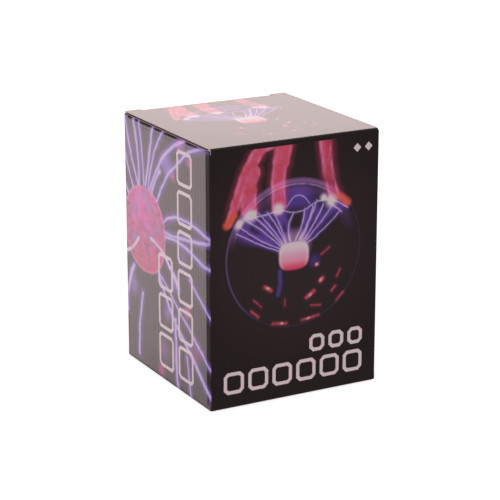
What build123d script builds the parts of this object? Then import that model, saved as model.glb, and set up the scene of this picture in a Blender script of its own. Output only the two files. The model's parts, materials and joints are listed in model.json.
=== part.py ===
"""A boxed plasma ball: a printed tuck-top carton, its card insert, and the plasma ball standing inside.

Millimetres. The origin is the centre of the carton's underside, +Z is up and the front panel faces -Y.
"""

import os
from math import cos, radians, sin, sqrt, tan

from build123d import *

# ---------------------------------------------------------------- driving dimensions
CARTON_W = 110.0  # outer width and depth, the carton is square in plan
CARTON_H = 153.5  # outer height
BOARD = 1.5  # E-flute corrugated board
CORNER_R = 1.4  # outer radius of the upright creases
ROLL_R = 1.3  # outer radius of the creases that the flaps fold on
FIT = 0.2  # slack between boards that lie on each other
HAIR = 0.05  # the least gap between two pieces that all but touch
GAP = 0.1  # gap between a piece and the one that holds it
CREASE_GAP = 0.1  # how far a flap starts outside the roll of its crease

TUCK_L = 18.0  # length of the tuck flap below its crease
TUCK_LEAN = 11.0  # degrees that the tucked flap leans away from the back panel
SHOULDER_L = 10.5  # width of the lid's two locking shoulders
DUST_L = 41.0  # length of a dust flap
DUST_TAPER = 44.0  # degrees between the dust flap's front edge and square

INSERT_W = 103.4  # outer width and depth of the card insert
INSERT_TOP = 27.5  # height of the insert's platform
INSERT_HOLE_R = 49.4  # hole that the ball's base drops through

GLOBE_R = 44.45  # a 3.5 inch glass globe
GLOBE_T = 1.6  # glass wall
HEADROOM = 6.0  # between the globe's top and the dust flaps
NECK_R = 12.2  # outer radius of the globe's neck
NECK_BOTTOM = 41.0
ELECTRODE_R = 10.0
STEM_R = 4.0
STEM_BORE_R = 2.6

BASE_R = 47.5  # radius of the ball's base at its foot
BASE_WALL = 2.2
RIM_R = 31.0  # outer radius of the base's upper rim
RIM_TOP = 64.0
DECK_TOP = 55.0  # ledge inside the rim that the gasket lies on
COVER_T = 2.2
FOOT_H = 2.5
FOOT_RECESS = 1.0
STANDOFF_H = 4.0
PCB_T = 1.6

# ---------------------------------------------------------------- worked out from those
HALF_W = CARTON_W / 2
INNER = HALF_W - BOARD  # half of the clear space between the walls
SIDE_TOP = CARTON_H - BOARD - FIT  # top of the side and back panels
DUST_UNDER = SIDE_TOP - BOARD  # underside of the dust flaps
FLOOR_TOP = 2 * BOARD + FIT / 2  # top of the two-ply bottom
PAD_TOP = FLOOR_TOP + HAIR + BOARD
SEAT_Z = PAD_TOP + GAP  # the plane of the ball's feet
GLOBE_Z = DUST_UNDER - HEADROOM - GLOBE_R  # centre of the globe
COVER_Z = SEAT_Z + FOOT_H - FOOT_RECESS  # underside of the base cover
PCB_Z = COVER_Z + COVER_T + STANDOFF_H  # underside of the circuit board
PCB_TOP = PCB_Z + PCB_T
INSERT_HALF = INSERT_W / 2

finished = []


def finish(part, name):
    """Labels a piece and keeps it to be written at the end."""
    part.label = name
    finished.append(part)
    return part


# ================================================================ carton
def wall(name, turn, top, flap_on_top):
    """One wall: a quarter of the folded sleeve, mitred at the creases, drawn as the front one.

    It is turned about Z into its place. The foot is rolled into the bottom flap, and so is the top of a
    wall that carries a flap.
    """
    with BuildPart() as panel:
        with BuildSketch():
            RectangleRounded(CARTON_W, CARTON_W, CORNER_R)
        extrude(amount=top)
        fillet(panel.faces().sort_by(Axis.Z)[0].edges(), ROLL_R)
        if flap_on_top:
            crease = panel.edges().filter_by(Axis.X).group_by(Axis.Z)[-1].sort_by(Axis.Y)[0]
            fillet(crease, ROLL_R)
        with BuildSketch():
            Rectangle(2 * INNER, 2 * INNER)
        extrude(amount=top, mode=Mode.SUBTRACT)
        with BuildSketch():
            with BuildLine():
                Polyline((0, 0), (-CARTON_W, -CARTON_W), (CARTON_W, -CARTON_W), close=True)
            make_face()
        extrude(amount=top, mode=Mode.INTERSECT)
    finish(panel.part.rotate(Axis.Z, turn), name)


wall("front_panel", 0, CARTON_H, True)
wall("right_panel", 90, SIDE_TOP, True)
wall("back_panel", 180, SIDE_TOP, False)
wall("left_panel", 270, SIDE_TOP, True)

# The manufacturer's joint: a strip folded from the back panel and glued inside the left panel.
GLUE_W = 13.0
GLUE_BEVEL = 4.0
GLUE_LOW = 6.0  # height of its lower end
GLUE_HIGH = CARTON_H - 10.0
with BuildPart() as glue_flap:
    with BuildSketch(Plane.YZ.offset(-INNER)):
        with BuildLine():
            Polyline(
                (INNER, GLUE_LOW),
                (INNER, GLUE_HIGH),
                (INNER - GLUE_W, GLUE_HIGH - GLUE_BEVEL),
                (INNER - GLUE_W, GLUE_LOW + GLUE_BEVEL),
                close=True,
            )
        make_face()
    extrude(amount=BOARD)
finish(glue_flap.part, "glue_flap")

# Auto-lock bottom: the front and back flaps hook into each other, over the two side flaps.
HOOK = 12.0  # how far each flap hooks past the middle
HOOK_ROOT = 24.0  # where the hook's slope begins, from the middle
HOOK_TIP = 16.0  # where the slope ends
HOOK_SLIT = 4.0  # where the hook's square side begins
HOOK_GAP = 0.15


def hook_line(shift):
    """The line where the two outer bottom flaps meet, moved along Y by shift."""
    half = [(INNER, 0), (HOOK_ROOT, 0), (HOOK_TIP, -HOOK), (HOOK_SLIT, -HOOK)]
    mirrored = [(-x, -y) for x, y in reversed(half)]
    return [(x, y + shift) for x, y in half + mirrored]


with BuildPart() as bottom_front:
    with BuildSketch():
        with BuildLine():
            Polyline(*hook_line(-HOOK_GAP), (-INNER, -INNER), (INNER, -INNER), close=True)
        make_face()
    extrude(amount=BOARD)
finish(bottom_front.part, "bottom_flap_front")
finish(bottom_front.part.rotate(Axis.Z, 180), "bottom_flap_back")

SIDE_FLAP_L = 36.0
SIDE_FLAP_ROOT = INNER - 1.0  # half width at the crease
SIDE_FLAP_TIP = 24.0  # half width at the tip
with BuildPart() as bottom_right:
    with BuildSketch(Plane.XY.offset(BOARD + FIT / 2)):
        with BuildLine():
            Polyline(
                (INNER, -SIDE_FLAP_ROOT),
                (INNER, SIDE_FLAP_ROOT),
                (INNER - SIDE_FLAP_L, SIDE_FLAP_TIP),
                (INNER - SIDE_FLAP_L, -SIDE_FLAP_TIP),
                close=True,
            )
        make_face()
    extrude(amount=BOARD)
finish(bottom_right.part, "bottom_flap_right")
finish(bottom_right.part.rotate(Axis.Z, 180), "bottom_flap_left")

# Lid: hinged on the front panel. Its rear fold is inside the back panel, and its shoulders lie over that.
HINGE_Y = -INNER  # axis of the lid's crease, at the boards' inner faces
HINGE_Z = CARTON_H - BOARD
TUCK_Y = INNER - FIT - BOARD  # axis of the tuck flap's crease
LID_HALF = HALF_W - 0.4
LID_REAR = HALF_W - 0.3  # how far the shoulders reach, almost flush with the back panel
with BuildPart() as lid:
    with BuildSketch(Plane.XY.offset(HINGE_Z)):
        with BuildLine():
            Polyline(
                (-LID_HALF, HINGE_Y + BOARD + CREASE_GAP),
                (LID_HALF, HINGE_Y + BOARD + CREASE_GAP),
                (LID_HALF, LID_REAR),
                (LID_HALF - SHOULDER_L, LID_REAR),
                (LID_HALF - SHOULDER_L, TUCK_Y),
                (-LID_HALF + SHOULDER_L, TUCK_Y),
                (-LID_HALF + SHOULDER_L, LID_REAR),
                (-LID_HALF, LID_REAR),
                close=True,
            )
        make_face()
    extrude(amount=BOARD)
finish(lid.part, "lid_panel")

# Tuck flap: drawn flat on its crease, then turned down into the carton.
SLIT_W = 0.5
TUCK_NECK = LID_HALF - SHOULDER_L - SLIT_W  # half width at the crease, between the two locking slits
TUCK_HALF = INNER - BOARD - 0.3  # half width below the slits, clear of the glue flap
TUCK_SLIT = 3.7  # distance from the crease to where the flap widens
TUCK_CORNER = 9.0
tuck_plane = Plane(
    origin=(0, TUCK_Y, HINGE_Z),
    x_dir=(1, 0, 0),
    z_dir=(0, cos(radians(TUCK_LEAN)), -sin(radians(TUCK_LEAN))),
)
with BuildPart() as tuck:
    with BuildSketch(tuck_plane):
        with BuildLine():
            Polyline(
                (-TUCK_NECK, BOARD + CREASE_GAP),
                (TUCK_NECK, BOARD + CREASE_GAP),
                (TUCK_NECK, TUCK_SLIT),
                (TUCK_HALF, TUCK_SLIT),
                (TUCK_HALF, TUCK_L),
                (-TUCK_HALF, TUCK_L),
                (-TUCK_HALF, TUCK_SLIT),
                (-TUCK_NECK, TUCK_SLIT),
                close=True,
            )
        make_face()
    extrude(amount=BOARD)
    through = tuck.edges().filter_by(Axis((0, 0, 0), tuck_plane.z_dir))
    fillet(through.group_by(Axis.Z)[0], TUCK_CORNER)
finish(tuck.part, "tuck_flap")

# Dust flaps: one on each side panel, lying under the lid, the front edge tapered so that they rise with it.
DUST_FRONT = HINGE_Y + 5.0
DUST_REAR = INNER - 5.0
DUST_NOTCH_Y = 6.0  # the bevel at the rear corner of the tip
DUST_NOTCH_X = 8.0
with BuildPart() as dust_right:
    with BuildSketch(Plane.XY.offset(DUST_UNDER)):
        reach = BOARD + CREASE_GAP
        with BuildLine():
            Polyline(
                (INNER - reach, DUST_FRONT),
                (INNER - DUST_L, DUST_FRONT + (DUST_L - reach) / tan(radians(DUST_TAPER))),
                (INNER - DUST_L, DUST_REAR - DUST_NOTCH_Y),
                (INNER - DUST_L + DUST_NOTCH_X, DUST_REAR),
                (INNER - reach, DUST_REAR),
                close=True,
            )
        make_face()
    extrude(amount=BOARD)
finish(dust_right.part, "dust_flap_right")
finish(dust_right.part.mirror(Plane.YZ), "dust_flap_left")

# ================================================================ card insert
with BuildPart() as platform:
    with BuildSketch(Plane.XY.offset(INSERT_TOP - BOARD)):
        Rectangle(INSERT_W, INSERT_W)
        Circle(INSERT_HOLE_R, mode=Mode.SUBTRACT)
    extrude(amount=BOARD)
finish(platform.part, "insert_platform")

LEG_Z = FLOOR_TOP + HAIR
LEG_H = INSERT_TOP - BOARD - LEG_Z
SHORT_LEG = INSERT_W - 2 * BOARD - FIT  # the side legs stand between the front and back ones
PAD_W = INSERT_W - 2 * BOARD - 0.6
LEGS = [("front", 0, INSERT_W), ("right", 90, SHORT_LEG), ("back", 180, INSERT_W), ("left", 270, SHORT_LEG)]
for side, turn, length in LEGS:
    with BuildPart() as leg:
        with BuildSketch(Plane.XY.offset(LEG_Z)):
            with Locations((0, -INSERT_HALF + BOARD / 2)):
                Rectangle(length, BOARD)
        extrude(amount=LEG_H)
    finish(leg.part.rotate(Axis.Z, turn), f"insert_leg_{side}")

with BuildPart() as pad:
    with BuildSketch(Plane.XY.offset(LEG_Z)):
        Rectangle(PAD_W, PAD_W)
    extrude(amount=BOARD)
finish(pad.part, "bottom_pad")


# ================================================================ plasma ball: glass
def sphere_z(radius, at):
    """Height of a sphere's underside at a distance from the axis. The sphere is round the globe's centre."""
    return GLOBE_Z - sqrt(radius**2 - at**2)


GLOBE_IN = GLOBE_R - GLOBE_T
NECK_IN = NECK_R - GLOBE_T
NECK_FILLET = 2.5
NECK_REACH = 20.0  # how far the neck's cylinder is drawn up into the sphere
with BuildPart() as globe:
    with Locations((0, 0, GLOBE_Z)):
        Sphere(GLOBE_R)
    with BuildSketch(Plane.XY.offset(NECK_BOTTOM)):
        Circle(NECK_R)
    extrude(amount=NECK_REACH)
    join_z = sphere_z(GLOBE_R, NECK_R)
    circles = globe.edges().filter_by(GeomType.CIRCLE)
    fillet(circles.filter_by_position(Axis.Z, join_z - GAP, join_z + GAP), NECK_FILLET)
    with Locations((0, 0, GLOBE_Z)):
        Sphere(GLOBE_IN, mode=Mode.SUBTRACT)
    with BuildSketch(Plane.XY.offset(NECK_BOTTOM)):
        Circle(NECK_IN)
    extrude(amount=NECK_REACH, mode=Mode.SUBTRACT)
finish(globe.part, "glass_globe")

FLARE_T = 1.6
BULB_T = 1.2  # glass wall of the bulb round the wool
with BuildPart() as stem:
    with Locations((0, 0, GLOBE_Z)):
        Sphere(ELECTRODE_R)
    with BuildSketch(Plane.XY.offset(NECK_BOTTOM - FLARE_T)):
        Circle(NECK_R)
    extrude(amount=FLARE_T)
    with BuildSketch(Plane.XY.offset(NECK_BOTTOM)):
        Circle(STEM_R)
    extrude(amount=GLOBE_Z - NECK_BOTTOM - ELECTRODE_R / 2)
    with Locations((0, 0, GLOBE_Z)):
        Sphere(ELECTRODE_R - BULB_T, mode=Mode.SUBTRACT)
    with BuildSketch(Plane.XY.offset(NECK_BOTTOM - FLARE_T)):
        Circle(STEM_BORE_R)
    extrude(amount=GLOBE_Z - NECK_BOTTOM, mode=Mode.SUBTRACT)
finish(stem.part, "electrode_stem")

WOOL_R = ELECTRODE_R - 1.5
with BuildPart() as wool:
    with Locations((0, 0, GLOBE_Z)):
        Sphere(WOOL_R)
finish(wool.part, "electrode_wool")

TIP_X = 7.4
TIP_L = 5.6
TIP_R = 1.8
TIP_END_R = 1.5
with BuildPart() as exhaust_tip:
    with BuildSketch(Plane.XY.offset(NECK_BOTTOM - FLARE_T)):
        with Locations((TIP_X, 0)):
            Circle(TIP_R)
    extrude(amount=-TIP_L)
    fillet(exhaust_tip.edges().group_by(Axis.Z)[0], TIP_END_R)
finish(exhaust_tip.part, "exhaust_tip")

# ================================================================ plasma ball: base
SKIRT_TOP = 20.0
BELL_TOP = 50.0
BELL_R = 33.5
BELL_WAIST = (38.2, 33.0)  # radius and height where the bell is most hollow
LEDGE_T = 2.2
SOCKET_R = NECK_R + 0.95  # inner radius of the neck's socket
SOCKET_WALL = 1.8
SOCKET_BOTTOM = 44.5
BOSS_R = 3.25
BOSS_AT = 38.0  # radius of the circle that the three bosses stand on
BOSS_TURN = 30.0  # degrees from +X to the first boss
PILOT_R = 1.25
PILOT_L = 12.0
USB_X = 8.0
USB_W = 8.2
USB_H = 3.4
USB_L = 10.0
USB_MOUTH = 45.0  # how far out the inlet's mouth stands
USB_Z = PCB_TOP + USB_H / 2
SWITCH_X = -7.0
SWITCH_TRAVEL = 4.0
SWITCH_Z = PCB_TOP + 2.3
WINDOW_H = 3.4  # of the switch's window
WINDOW_SPARE = 3.6  # width of that window beside the knob's travel
WINDOW_R = 0.8
WINDOW_GAP = 0.6  # slack round the inlet in its window
WINDOW_FROM = 38.0  # the windows are cut outward from this distance
WINDOW_CUT = 12.0
SKIRT_LEAN = 1.0  # how much the foot narrows up to the bell
RIM_STEP = 0.8  # the rim's wall is thicker than the rest by this
FOOT_EDGE_R = 0.8
INSET_OUT = 0.87  # the bell's slope: share of an inset taken outward
INSET_DOWN = 0.5  # and downward


def bell(inset, low, top):
    """Half section of the base, from its axis out to its skin, drawn that far inside the skin."""
    with BuildSketch(Plane.XZ) as half:
        with BuildLine():
            Line((0, low), (BASE_R - inset, low))
            Line((BASE_R - inset, low), (BASE_R - SKIRT_LEAN - inset, SKIRT_TOP))
            ThreePointArc(
                (BASE_R - SKIRT_LEAN - inset, SKIRT_TOP),
                (BELL_WAIST[0] - INSET_OUT * inset, BELL_WAIST[1] - INSET_DOWN * inset),
                (BELL_R - inset, BELL_TOP - inset),
            )
            Line((BELL_R - inset, BELL_TOP - inset), (RIM_R - inset, BELL_TOP - inset))
            Line((RIM_R - inset, BELL_TOP - inset), (RIM_R - inset, top))
            Line((RIM_R - inset, top), (0, top))
            Line((0, top), (0, low))
        make_face()
    return half.sketch


RIM_IN = RIM_R - BASE_WALL - RIM_STEP
# The hollow of the base, less the neck's socket and the screw bosses, which run up into the bell's skin.
with BuildPart() as hollow:
    revolve(bell(BASE_WALL, COVER_Z - 1, DECK_TOP - LEDGE_T), axis=Axis.Z)
    with BuildSketch(Plane.XY.offset(SOCKET_BOTTOM)):
        Circle(SOCKET_R + SOCKET_WALL)
    extrude(amount=DECK_TOP - SOCKET_BOTTOM, mode=Mode.SUBTRACT)
    with BuildSketch(Plane.XY.offset(COVER_Z + COVER_T)):
        with PolarLocations(BOSS_AT, 3, BOSS_TURN):
            Circle(BOSS_R)
    extrude(amount=DECK_TOP, mode=Mode.SUBTRACT)

with BuildPart() as housing:
    revolve(bell(0, COVER_Z, RIM_TOP), axis=Axis.Z)
    add(hollow.part, mode=Mode.SUBTRACT)
    with BuildSketch(Plane.XY.offset(DECK_TOP)):
        Circle(RIM_IN)
    extrude(amount=RIM_TOP - DECK_TOP, mode=Mode.SUBTRACT)
    with BuildSketch(Plane.XY.offset(SOCKET_BOTTOM)):
        Circle(SOCKET_R)
    extrude(amount=DECK_TOP - SOCKET_BOTTOM, mode=Mode.SUBTRACT)
    with BuildSketch(Plane.XY.offset(COVER_Z + COVER_T)):
        with PolarLocations(BOSS_AT, 3, BOSS_TURN):
            Circle(PILOT_R)
    extrude(amount=PILOT_L, mode=Mode.SUBTRACT)
    # windows in the rear skin for the power inlet and the switch
    with BuildSketch(Plane.XZ.offset(-WINDOW_FROM)):
        with Locations((USB_X, USB_Z)):
            RectangleRounded(USB_W + WINDOW_GAP, USB_H + WINDOW_GAP, WINDOW_R)
        with Locations((SWITCH_X, SWITCH_Z)):
            RectangleRounded(SWITCH_TRAVEL + WINDOW_SPARE, WINDOW_H, WINDOW_R)
    extrude(amount=-WINDOW_CUT, mode=Mode.SUBTRACT)
    foot_circles = housing.edges().filter_by(GeomType.CIRCLE).group_by(Axis.Z)[0]
    fillet(foot_circles.sort_by(SortBy.RADIUS)[-1], FOOT_EDGE_R)
finish(housing.part, "base_housing")

TRIM_R = 34.0
TRIM_TOP = 66.5
TRIM_IN = 29.8
TRIM_EDGE_R = 1.0
with BuildPart() as trim:
    with BuildSketch(Plane.XZ):
        with BuildLine():
            Polyline(
                (RIM_R + GAP, BELL_TOP + GAP),
                (TRIM_R, BELL_TOP + GAP),
                (TRIM_R, TRIM_TOP),
                (TRIM_IN, TRIM_TOP),
                (TRIM_IN, RIM_TOP + GAP),
                (RIM_R + GAP, RIM_TOP + GAP),
                close=True,
            )
        make_face()
    revolve(axis=Axis.Z)
    fillet(trim.edges().filter_by(GeomType.CIRCLE).group_by(Axis.Z)[-1], TRIM_EDGE_R)
finish(trim.part, "trim_ring")

GASKET_IN = 21.5
SKIN = 0.02  # gap between the glass and what is pressed or cast against it
with BuildPart() as gasket:
    with BuildSketch(Plane.XY.offset(DECK_TOP)):
        Circle(RIM_IN - HAIR)
        Circle(GASKET_IN, mode=Mode.SUBTRACT)
    extrude(amount=RIM_TOP - DECK_TOP)
    with Locations((0, 0, GLOBE_Z)):
        Sphere(GLOBE_R + SKIN, mode=Mode.SUBTRACT)
finish(gasket.part, "globe_gasket")

SEALANT_Z = SOCKET_BOTTOM + 0.5
SEALANT_H = 7.0
with BuildPart() as sealant:
    with BuildSketch(Plane.XY.offset(SEALANT_Z)):
        Circle(SOCKET_R - SKIN)
        Circle(NECK_R + SKIN, mode=Mode.SUBTRACT)
    extrude(amount=SEALANT_H)
finish(sealant.part, "neck_sealant")

# Bottom cover with standoffs for the circuit board, countersunk screw holes and seats for the feet.
STANDOFFS = [(-17.0, -18.0), (17.0, -18.0), (-17.0, 24.0), (17.0, 24.0)]
STANDOFF_R = 2.6
BOARD_SCREW_R = 1.0
HEAD_R = 2.6
HEAD_H = 1.3
HEAD_GAP = 0.15
CLEARANCE = 0.3  # the screw's hole is wider than its pilot by this
FOOT_R = 5.0
FOOT_AT = 35.0  # radius of the circle that the three feet stand on
FOOT_TURN = 90.0
FOOT_ROUND = 0.8
COVER_GAP = 0.5
VENTS = 5
VENT_PITCH = 5.0
VENT_L = 14.0
VENT_W = 1.8
with BuildPart() as cover:
    with BuildSketch(Plane.XY.offset(COVER_Z)):
        Circle(BASE_R - BASE_WALL - COVER_GAP)
    extrude(amount=COVER_T)
    with BuildSketch(Plane.XY.offset(COVER_Z + COVER_T)):
        with Locations(*STANDOFFS):
            Circle(STANDOFF_R)
            Circle(BOARD_SCREW_R + SKIN, mode=Mode.SUBTRACT)
    extrude(amount=PCB_Z - COVER_Z - COVER_T)
    with Locations(Plane(origin=(0, 0, COVER_Z), x_dir=(1, 0, 0), z_dir=(0, 0, -1))):
        with PolarLocations(BOSS_AT, 3, -BOSS_TURN):
            CounterBoreHole(PILOT_R + CLEARANCE, HEAD_R + HEAD_GAP, HEAD_H + GAP, depth=COVER_T)
    with BuildSketch(Plane.XY.offset(COVER_Z)):
        with PolarLocations(FOOT_AT, 3, FOOT_TURN):
            Circle(FOOT_R + GAP)
    extrude(amount=FOOT_RECESS, mode=Mode.SUBTRACT)
    # vent slots
    with BuildSketch(Plane.XY.offset(COVER_Z)):
        with GridLocations(VENT_PITCH, 0, VENTS, 1):
            SlotOverall(VENT_L, VENT_W, rotation=90)
    extrude(amount=COVER_T, mode=Mode.SUBTRACT)
finish(cover.part, "base_cover")

with BuildPart() as feet:
    with BuildSketch(Plane.XY.offset(SEAT_Z)):
        with PolarLocations(FOOT_AT, 3, FOOT_TURN):
            Circle(FOOT_R)
    extrude(amount=FOOT_H)
    fillet(feet.edges().filter_by(GeomType.CIRCLE).group_by(Axis.Z)[0], FOOT_ROUND)
finish(feet.part, "rubber_feet")

HEAD_Z = COVER_Z + GAP
CROSS_L = 3.0
CROSS_W = 0.6
CROSS_H = 0.7
SCREW_END = 2.0  # how far the screw stops short of its pilot's end
with BuildPart() as screws:
    with BuildSketch(Plane.XY.offset(HEAD_Z)):
        with PolarLocations(BOSS_AT, 3, BOSS_TURN):
            Circle(HEAD_R)
    extrude(amount=HEAD_H)
    with BuildSketch(Plane.XY.offset(HEAD_Z + HEAD_H)):
        with PolarLocations(BOSS_AT, 3, BOSS_TURN):
            Circle(PILOT_R - SKIN)
    extrude(amount=PILOT_L - SCREW_END)
    with BuildSketch(Plane.XY.offset(HEAD_Z)):
        with PolarLocations(BOSS_AT, 3, BOSS_TURN):
            Rectangle(CROSS_L, CROSS_W)
            Rectangle(CROSS_W, CROSS_L)
    extrude(amount=CROSS_H, mode=Mode.SUBTRACT)
finish(screws.part, "cover_screws")

# ================================================================ plasma ball: electronics
PCB_OUTLINE = [(-22.0, -24.0), (22.0, -24.0), (22.0, 30.0), (14.0, 40.0), (-14.0, 40.0), (-22.0, 30.0)]
with BuildPart() as board:
    with BuildSketch(Plane.XY.offset(PCB_Z)):
        with BuildLine():
            Polyline(*PCB_OUTLINE, close=True)
        make_face()
        with Locations(*STANDOFFS):
            Circle(BOARD_SCREW_R + CLEARANCE, mode=Mode.SUBTRACT)
    extrude(amount=PCB_T)
finish(board.part, "circuit_board")

BOARD_HEAD_R = 2.2
BOARD_HEAD_H = 1.2
BOARD_SCREW_L = PCB_T + 3.5
with BuildPart() as board_screws:
    with BuildSketch(Plane.XY.offset(PCB_TOP)):
        with Locations(*STANDOFFS):
            Circle(BOARD_HEAD_R)
    extrude(amount=BOARD_HEAD_H)
    with BuildSketch(Plane.XY.offset(PCB_TOP)):
        with Locations(*STANDOFFS):
            Circle(BOARD_SCREW_R)
    extrude(amount=-BOARD_SCREW_L)
finish(board_screws.part, "board_screws")

# Flyback transformer: a wound bobbin on the middle leg of a ferrite frame.
FLY_X = -11.0
FLY_Y = 4.0
CORE_W = 19.0
CORE_H = 16.0
CORE_D = 6.0
CORE_Z = PCB_TOP + 0.8
LEG_W = 3.0
SLOT_W = 4.4  # the two openings that the coil passes through
SLOT_AT = CORE_W / 4 - 0.2
COIL_T = 4.1
COIL_R = 2.5
fly_plane = Plane(origin=(FLY_X, FLY_Y, CORE_Z), x_dir=(1, 0, 0), z_dir=(0, -1, 0))
with BuildPart() as core:
    with BuildSketch(fly_plane):
        with Locations((0, CORE_H / 2)):
            Rectangle(CORE_W, CORE_H)
        with Locations((-SLOT_AT, CORE_H / 2), (SLOT_AT, CORE_H / 2)):
            Rectangle(SLOT_W, CORE_H - 2 * LEG_W, mode=Mode.SUBTRACT)
    extrude(amount=CORE_D / 2, both=True)
finish(core.part, "transformer_core")

LIMB_W = 2 * SLOT_AT - SLOT_W  # the middle leg
with BuildPart() as winding:
    with BuildSketch(Plane.XY.offset(CORE_Z + LEG_W + GAP)):
        with Locations((FLY_X, FLY_Y)):
            RectangleRounded(LIMB_W + 2 * COIL_T, CORE_D + 2 * COIL_T, COIL_R)
            Rectangle(LIMB_W + 2 * GAP, CORE_D + 2 * GAP, mode=Mode.SUBTRACT)
    extrude(amount=CORE_H - 2 * LEG_W - 2 * GAP)
finish(winding.part, "transformer_winding")

HEAT_X = 13.0
HEAT_Y = -10.0
HEAT_W = 15.0
HEAT_H = 15.0
HEAT_T = 2.0
FINS = 4
FIN_PITCH = 4.5
FIN_T = 1.2
FIN_L = 4.2
FIN_AT = 3.0  # from the plate's middle to the fins' middle
with BuildPart() as heatsink:
    with BuildSketch(Plane.XY.offset(PCB_TOP + HAIR)):
        with Locations((HEAT_X, HEAT_Y)):
            Rectangle(HEAT_W, HEAT_T)
        with Locations((HEAT_X, HEAT_Y - FIN_AT)):
            with GridLocations(FIN_PITCH, 0, FINS, 1):
                Rectangle(FIN_T, FIN_L)
    extrude(amount=HEAT_H)
finish(heatsink.part, "heatsink")

CASE_W = 10.0
CASE_T = 4.4
CASE_H = 9.0
LEAD_H = 3.5  # the transistor's case stands this far over the board
LEAD_PITCH = 2.54
LEAD_W = 0.8
LEAD_T = 0.6
LEAD_BACK = 3.0
with BuildPart() as transistor:
    with BuildSketch(Plane.XY.offset(PCB_TOP + LEAD_H)):
        with Locations((HEAT_X, HEAT_Y + HEAT_T / 2 + HAIR + CASE_T / 2)):
            Rectangle(CASE_W, CASE_T)
    extrude(amount=CASE_H)
    with BuildSketch(Plane.XY.offset(PCB_TOP)):
        with Locations((HEAT_X, HEAT_Y + LEAD_BACK)):
            with GridLocations(LEAD_PITCH, 0, 3, 1):
                Rectangle(LEAD_W, LEAD_T)
    extrude(amount=LEAD_H)
finish(transistor.part, "power_transistor")

CAN_EDGE_R = 0.6
CANS = [(10.0, 6.0, 4.0, 12.0), (12.0, 16.5, 3.2, 11.0), (-10.0, -14.5, 3.2, 11.0)]  # x, y, radius, height
with BuildPart() as capacitors:
    for x, y, radius, height in CANS:
        with BuildSketch(Plane.XY.offset(PCB_TOP)):
            with Locations((x, y)):
                Circle(radius)
        extrude(amount=height)
    can_circles = capacitors.edges().filter_by(GeomType.CIRCLE)
    fillet(can_circles.filter_by_position(Axis.Z, PCB_TOP + GAP, RIM_TOP), CAN_EDGE_R)
finish(capacitors.part, "electrolytic_capacitors")

RESISTORS = [(-1.5, -10.0), (-1.5, -14.0), (-1.5, -18.0), (0.0, 22.0)]
RESISTOR_R = 1.2
RESISTOR_L = 6.0
RESISTOR_Z = PCB_TOP + 1.4
WIRE_R = 0.3
WIRE_L = 8.4
with BuildPart() as resistors:
    for x, y in RESISTORS:
        for radius, length in ((RESISTOR_R, RESISTOR_L), (WIRE_R, WIRE_L)):
            with BuildSketch(Plane(origin=(x - length / 2, y, RESISTOR_Z), z_dir=(1, 0, 0))):
                Circle(radius)
            extrude(amount=length)
finish(resistors.part, "resistors")

# High-voltage lead: from the winding's top, across and up through the bore of the stem to the wool.
LEAD_R = 0.9
LEAD_BEND_R = 2.5
LEAD_LOW = NECK_BOTTOM - FLARE_T - 3.2
lead_top = GLOBE_Z - WOOL_R - GAP
winding_top = CORE_Z + CORE_H - LEG_W - GAP
lead_start = (FLY_X, FLY_Y - CORE_D / 2 - 2.2)
with BuildPart() as lead:
    with BuildLine():
        FilletPolyline(
            (*lead_start, winding_top),
            (*lead_start, LEAD_LOW),
            (0, 0, LEAD_LOW),
            (0, 0, lead_top),
            radius=LEAD_BEND_R,
        )
    with BuildSketch(Plane(origin=(*lead_start, winding_top))):
        Circle(LEAD_R)
    sweep()
finish(lead.part, "electrode_lead")

# Power inlet: a small metal shell with a plastic tongue.
SHELL_T = 0.4
SHELL_R = 0.7
SHELL_IN_R = 0.4
SHELL_BACK = 0.6  # thickness of the shell's rear wall
TONGUE_IN = 0.9  # how far the tongue stands back from the mouth
TONGUE_W = 5.8
TONGUE_T = 0.8
with BuildPart() as usb_shell:
    with BuildSketch(Plane.XZ.offset(-USB_MOUTH)):
        with Locations((USB_X, USB_Z)):
            RectangleRounded(USB_W, USB_H, SHELL_R)
    extrude(amount=USB_L)
    with BuildSketch(Plane.XZ.offset(-USB_MOUTH)):
        with Locations((USB_X, USB_Z)):
            RectangleRounded(USB_W - 2 * SHELL_T, USB_H - 2 * SHELL_T, SHELL_IN_R)
    extrude(amount=USB_L - SHELL_BACK, mode=Mode.SUBTRACT)
finish(usb_shell.part, "usb_shell")

with BuildPart() as usb_tongue:
    with BuildSketch(Plane.XZ.offset(-(USB_MOUTH - TONGUE_IN))):
        with Locations((USB_X, USB_Z)):
            Rectangle(TONGUE_W, TONGUE_T)
    extrude(amount=USB_L - SHELL_BACK - TONGUE_IN)
finish(usb_tongue.part, "usb_tongue")

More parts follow.
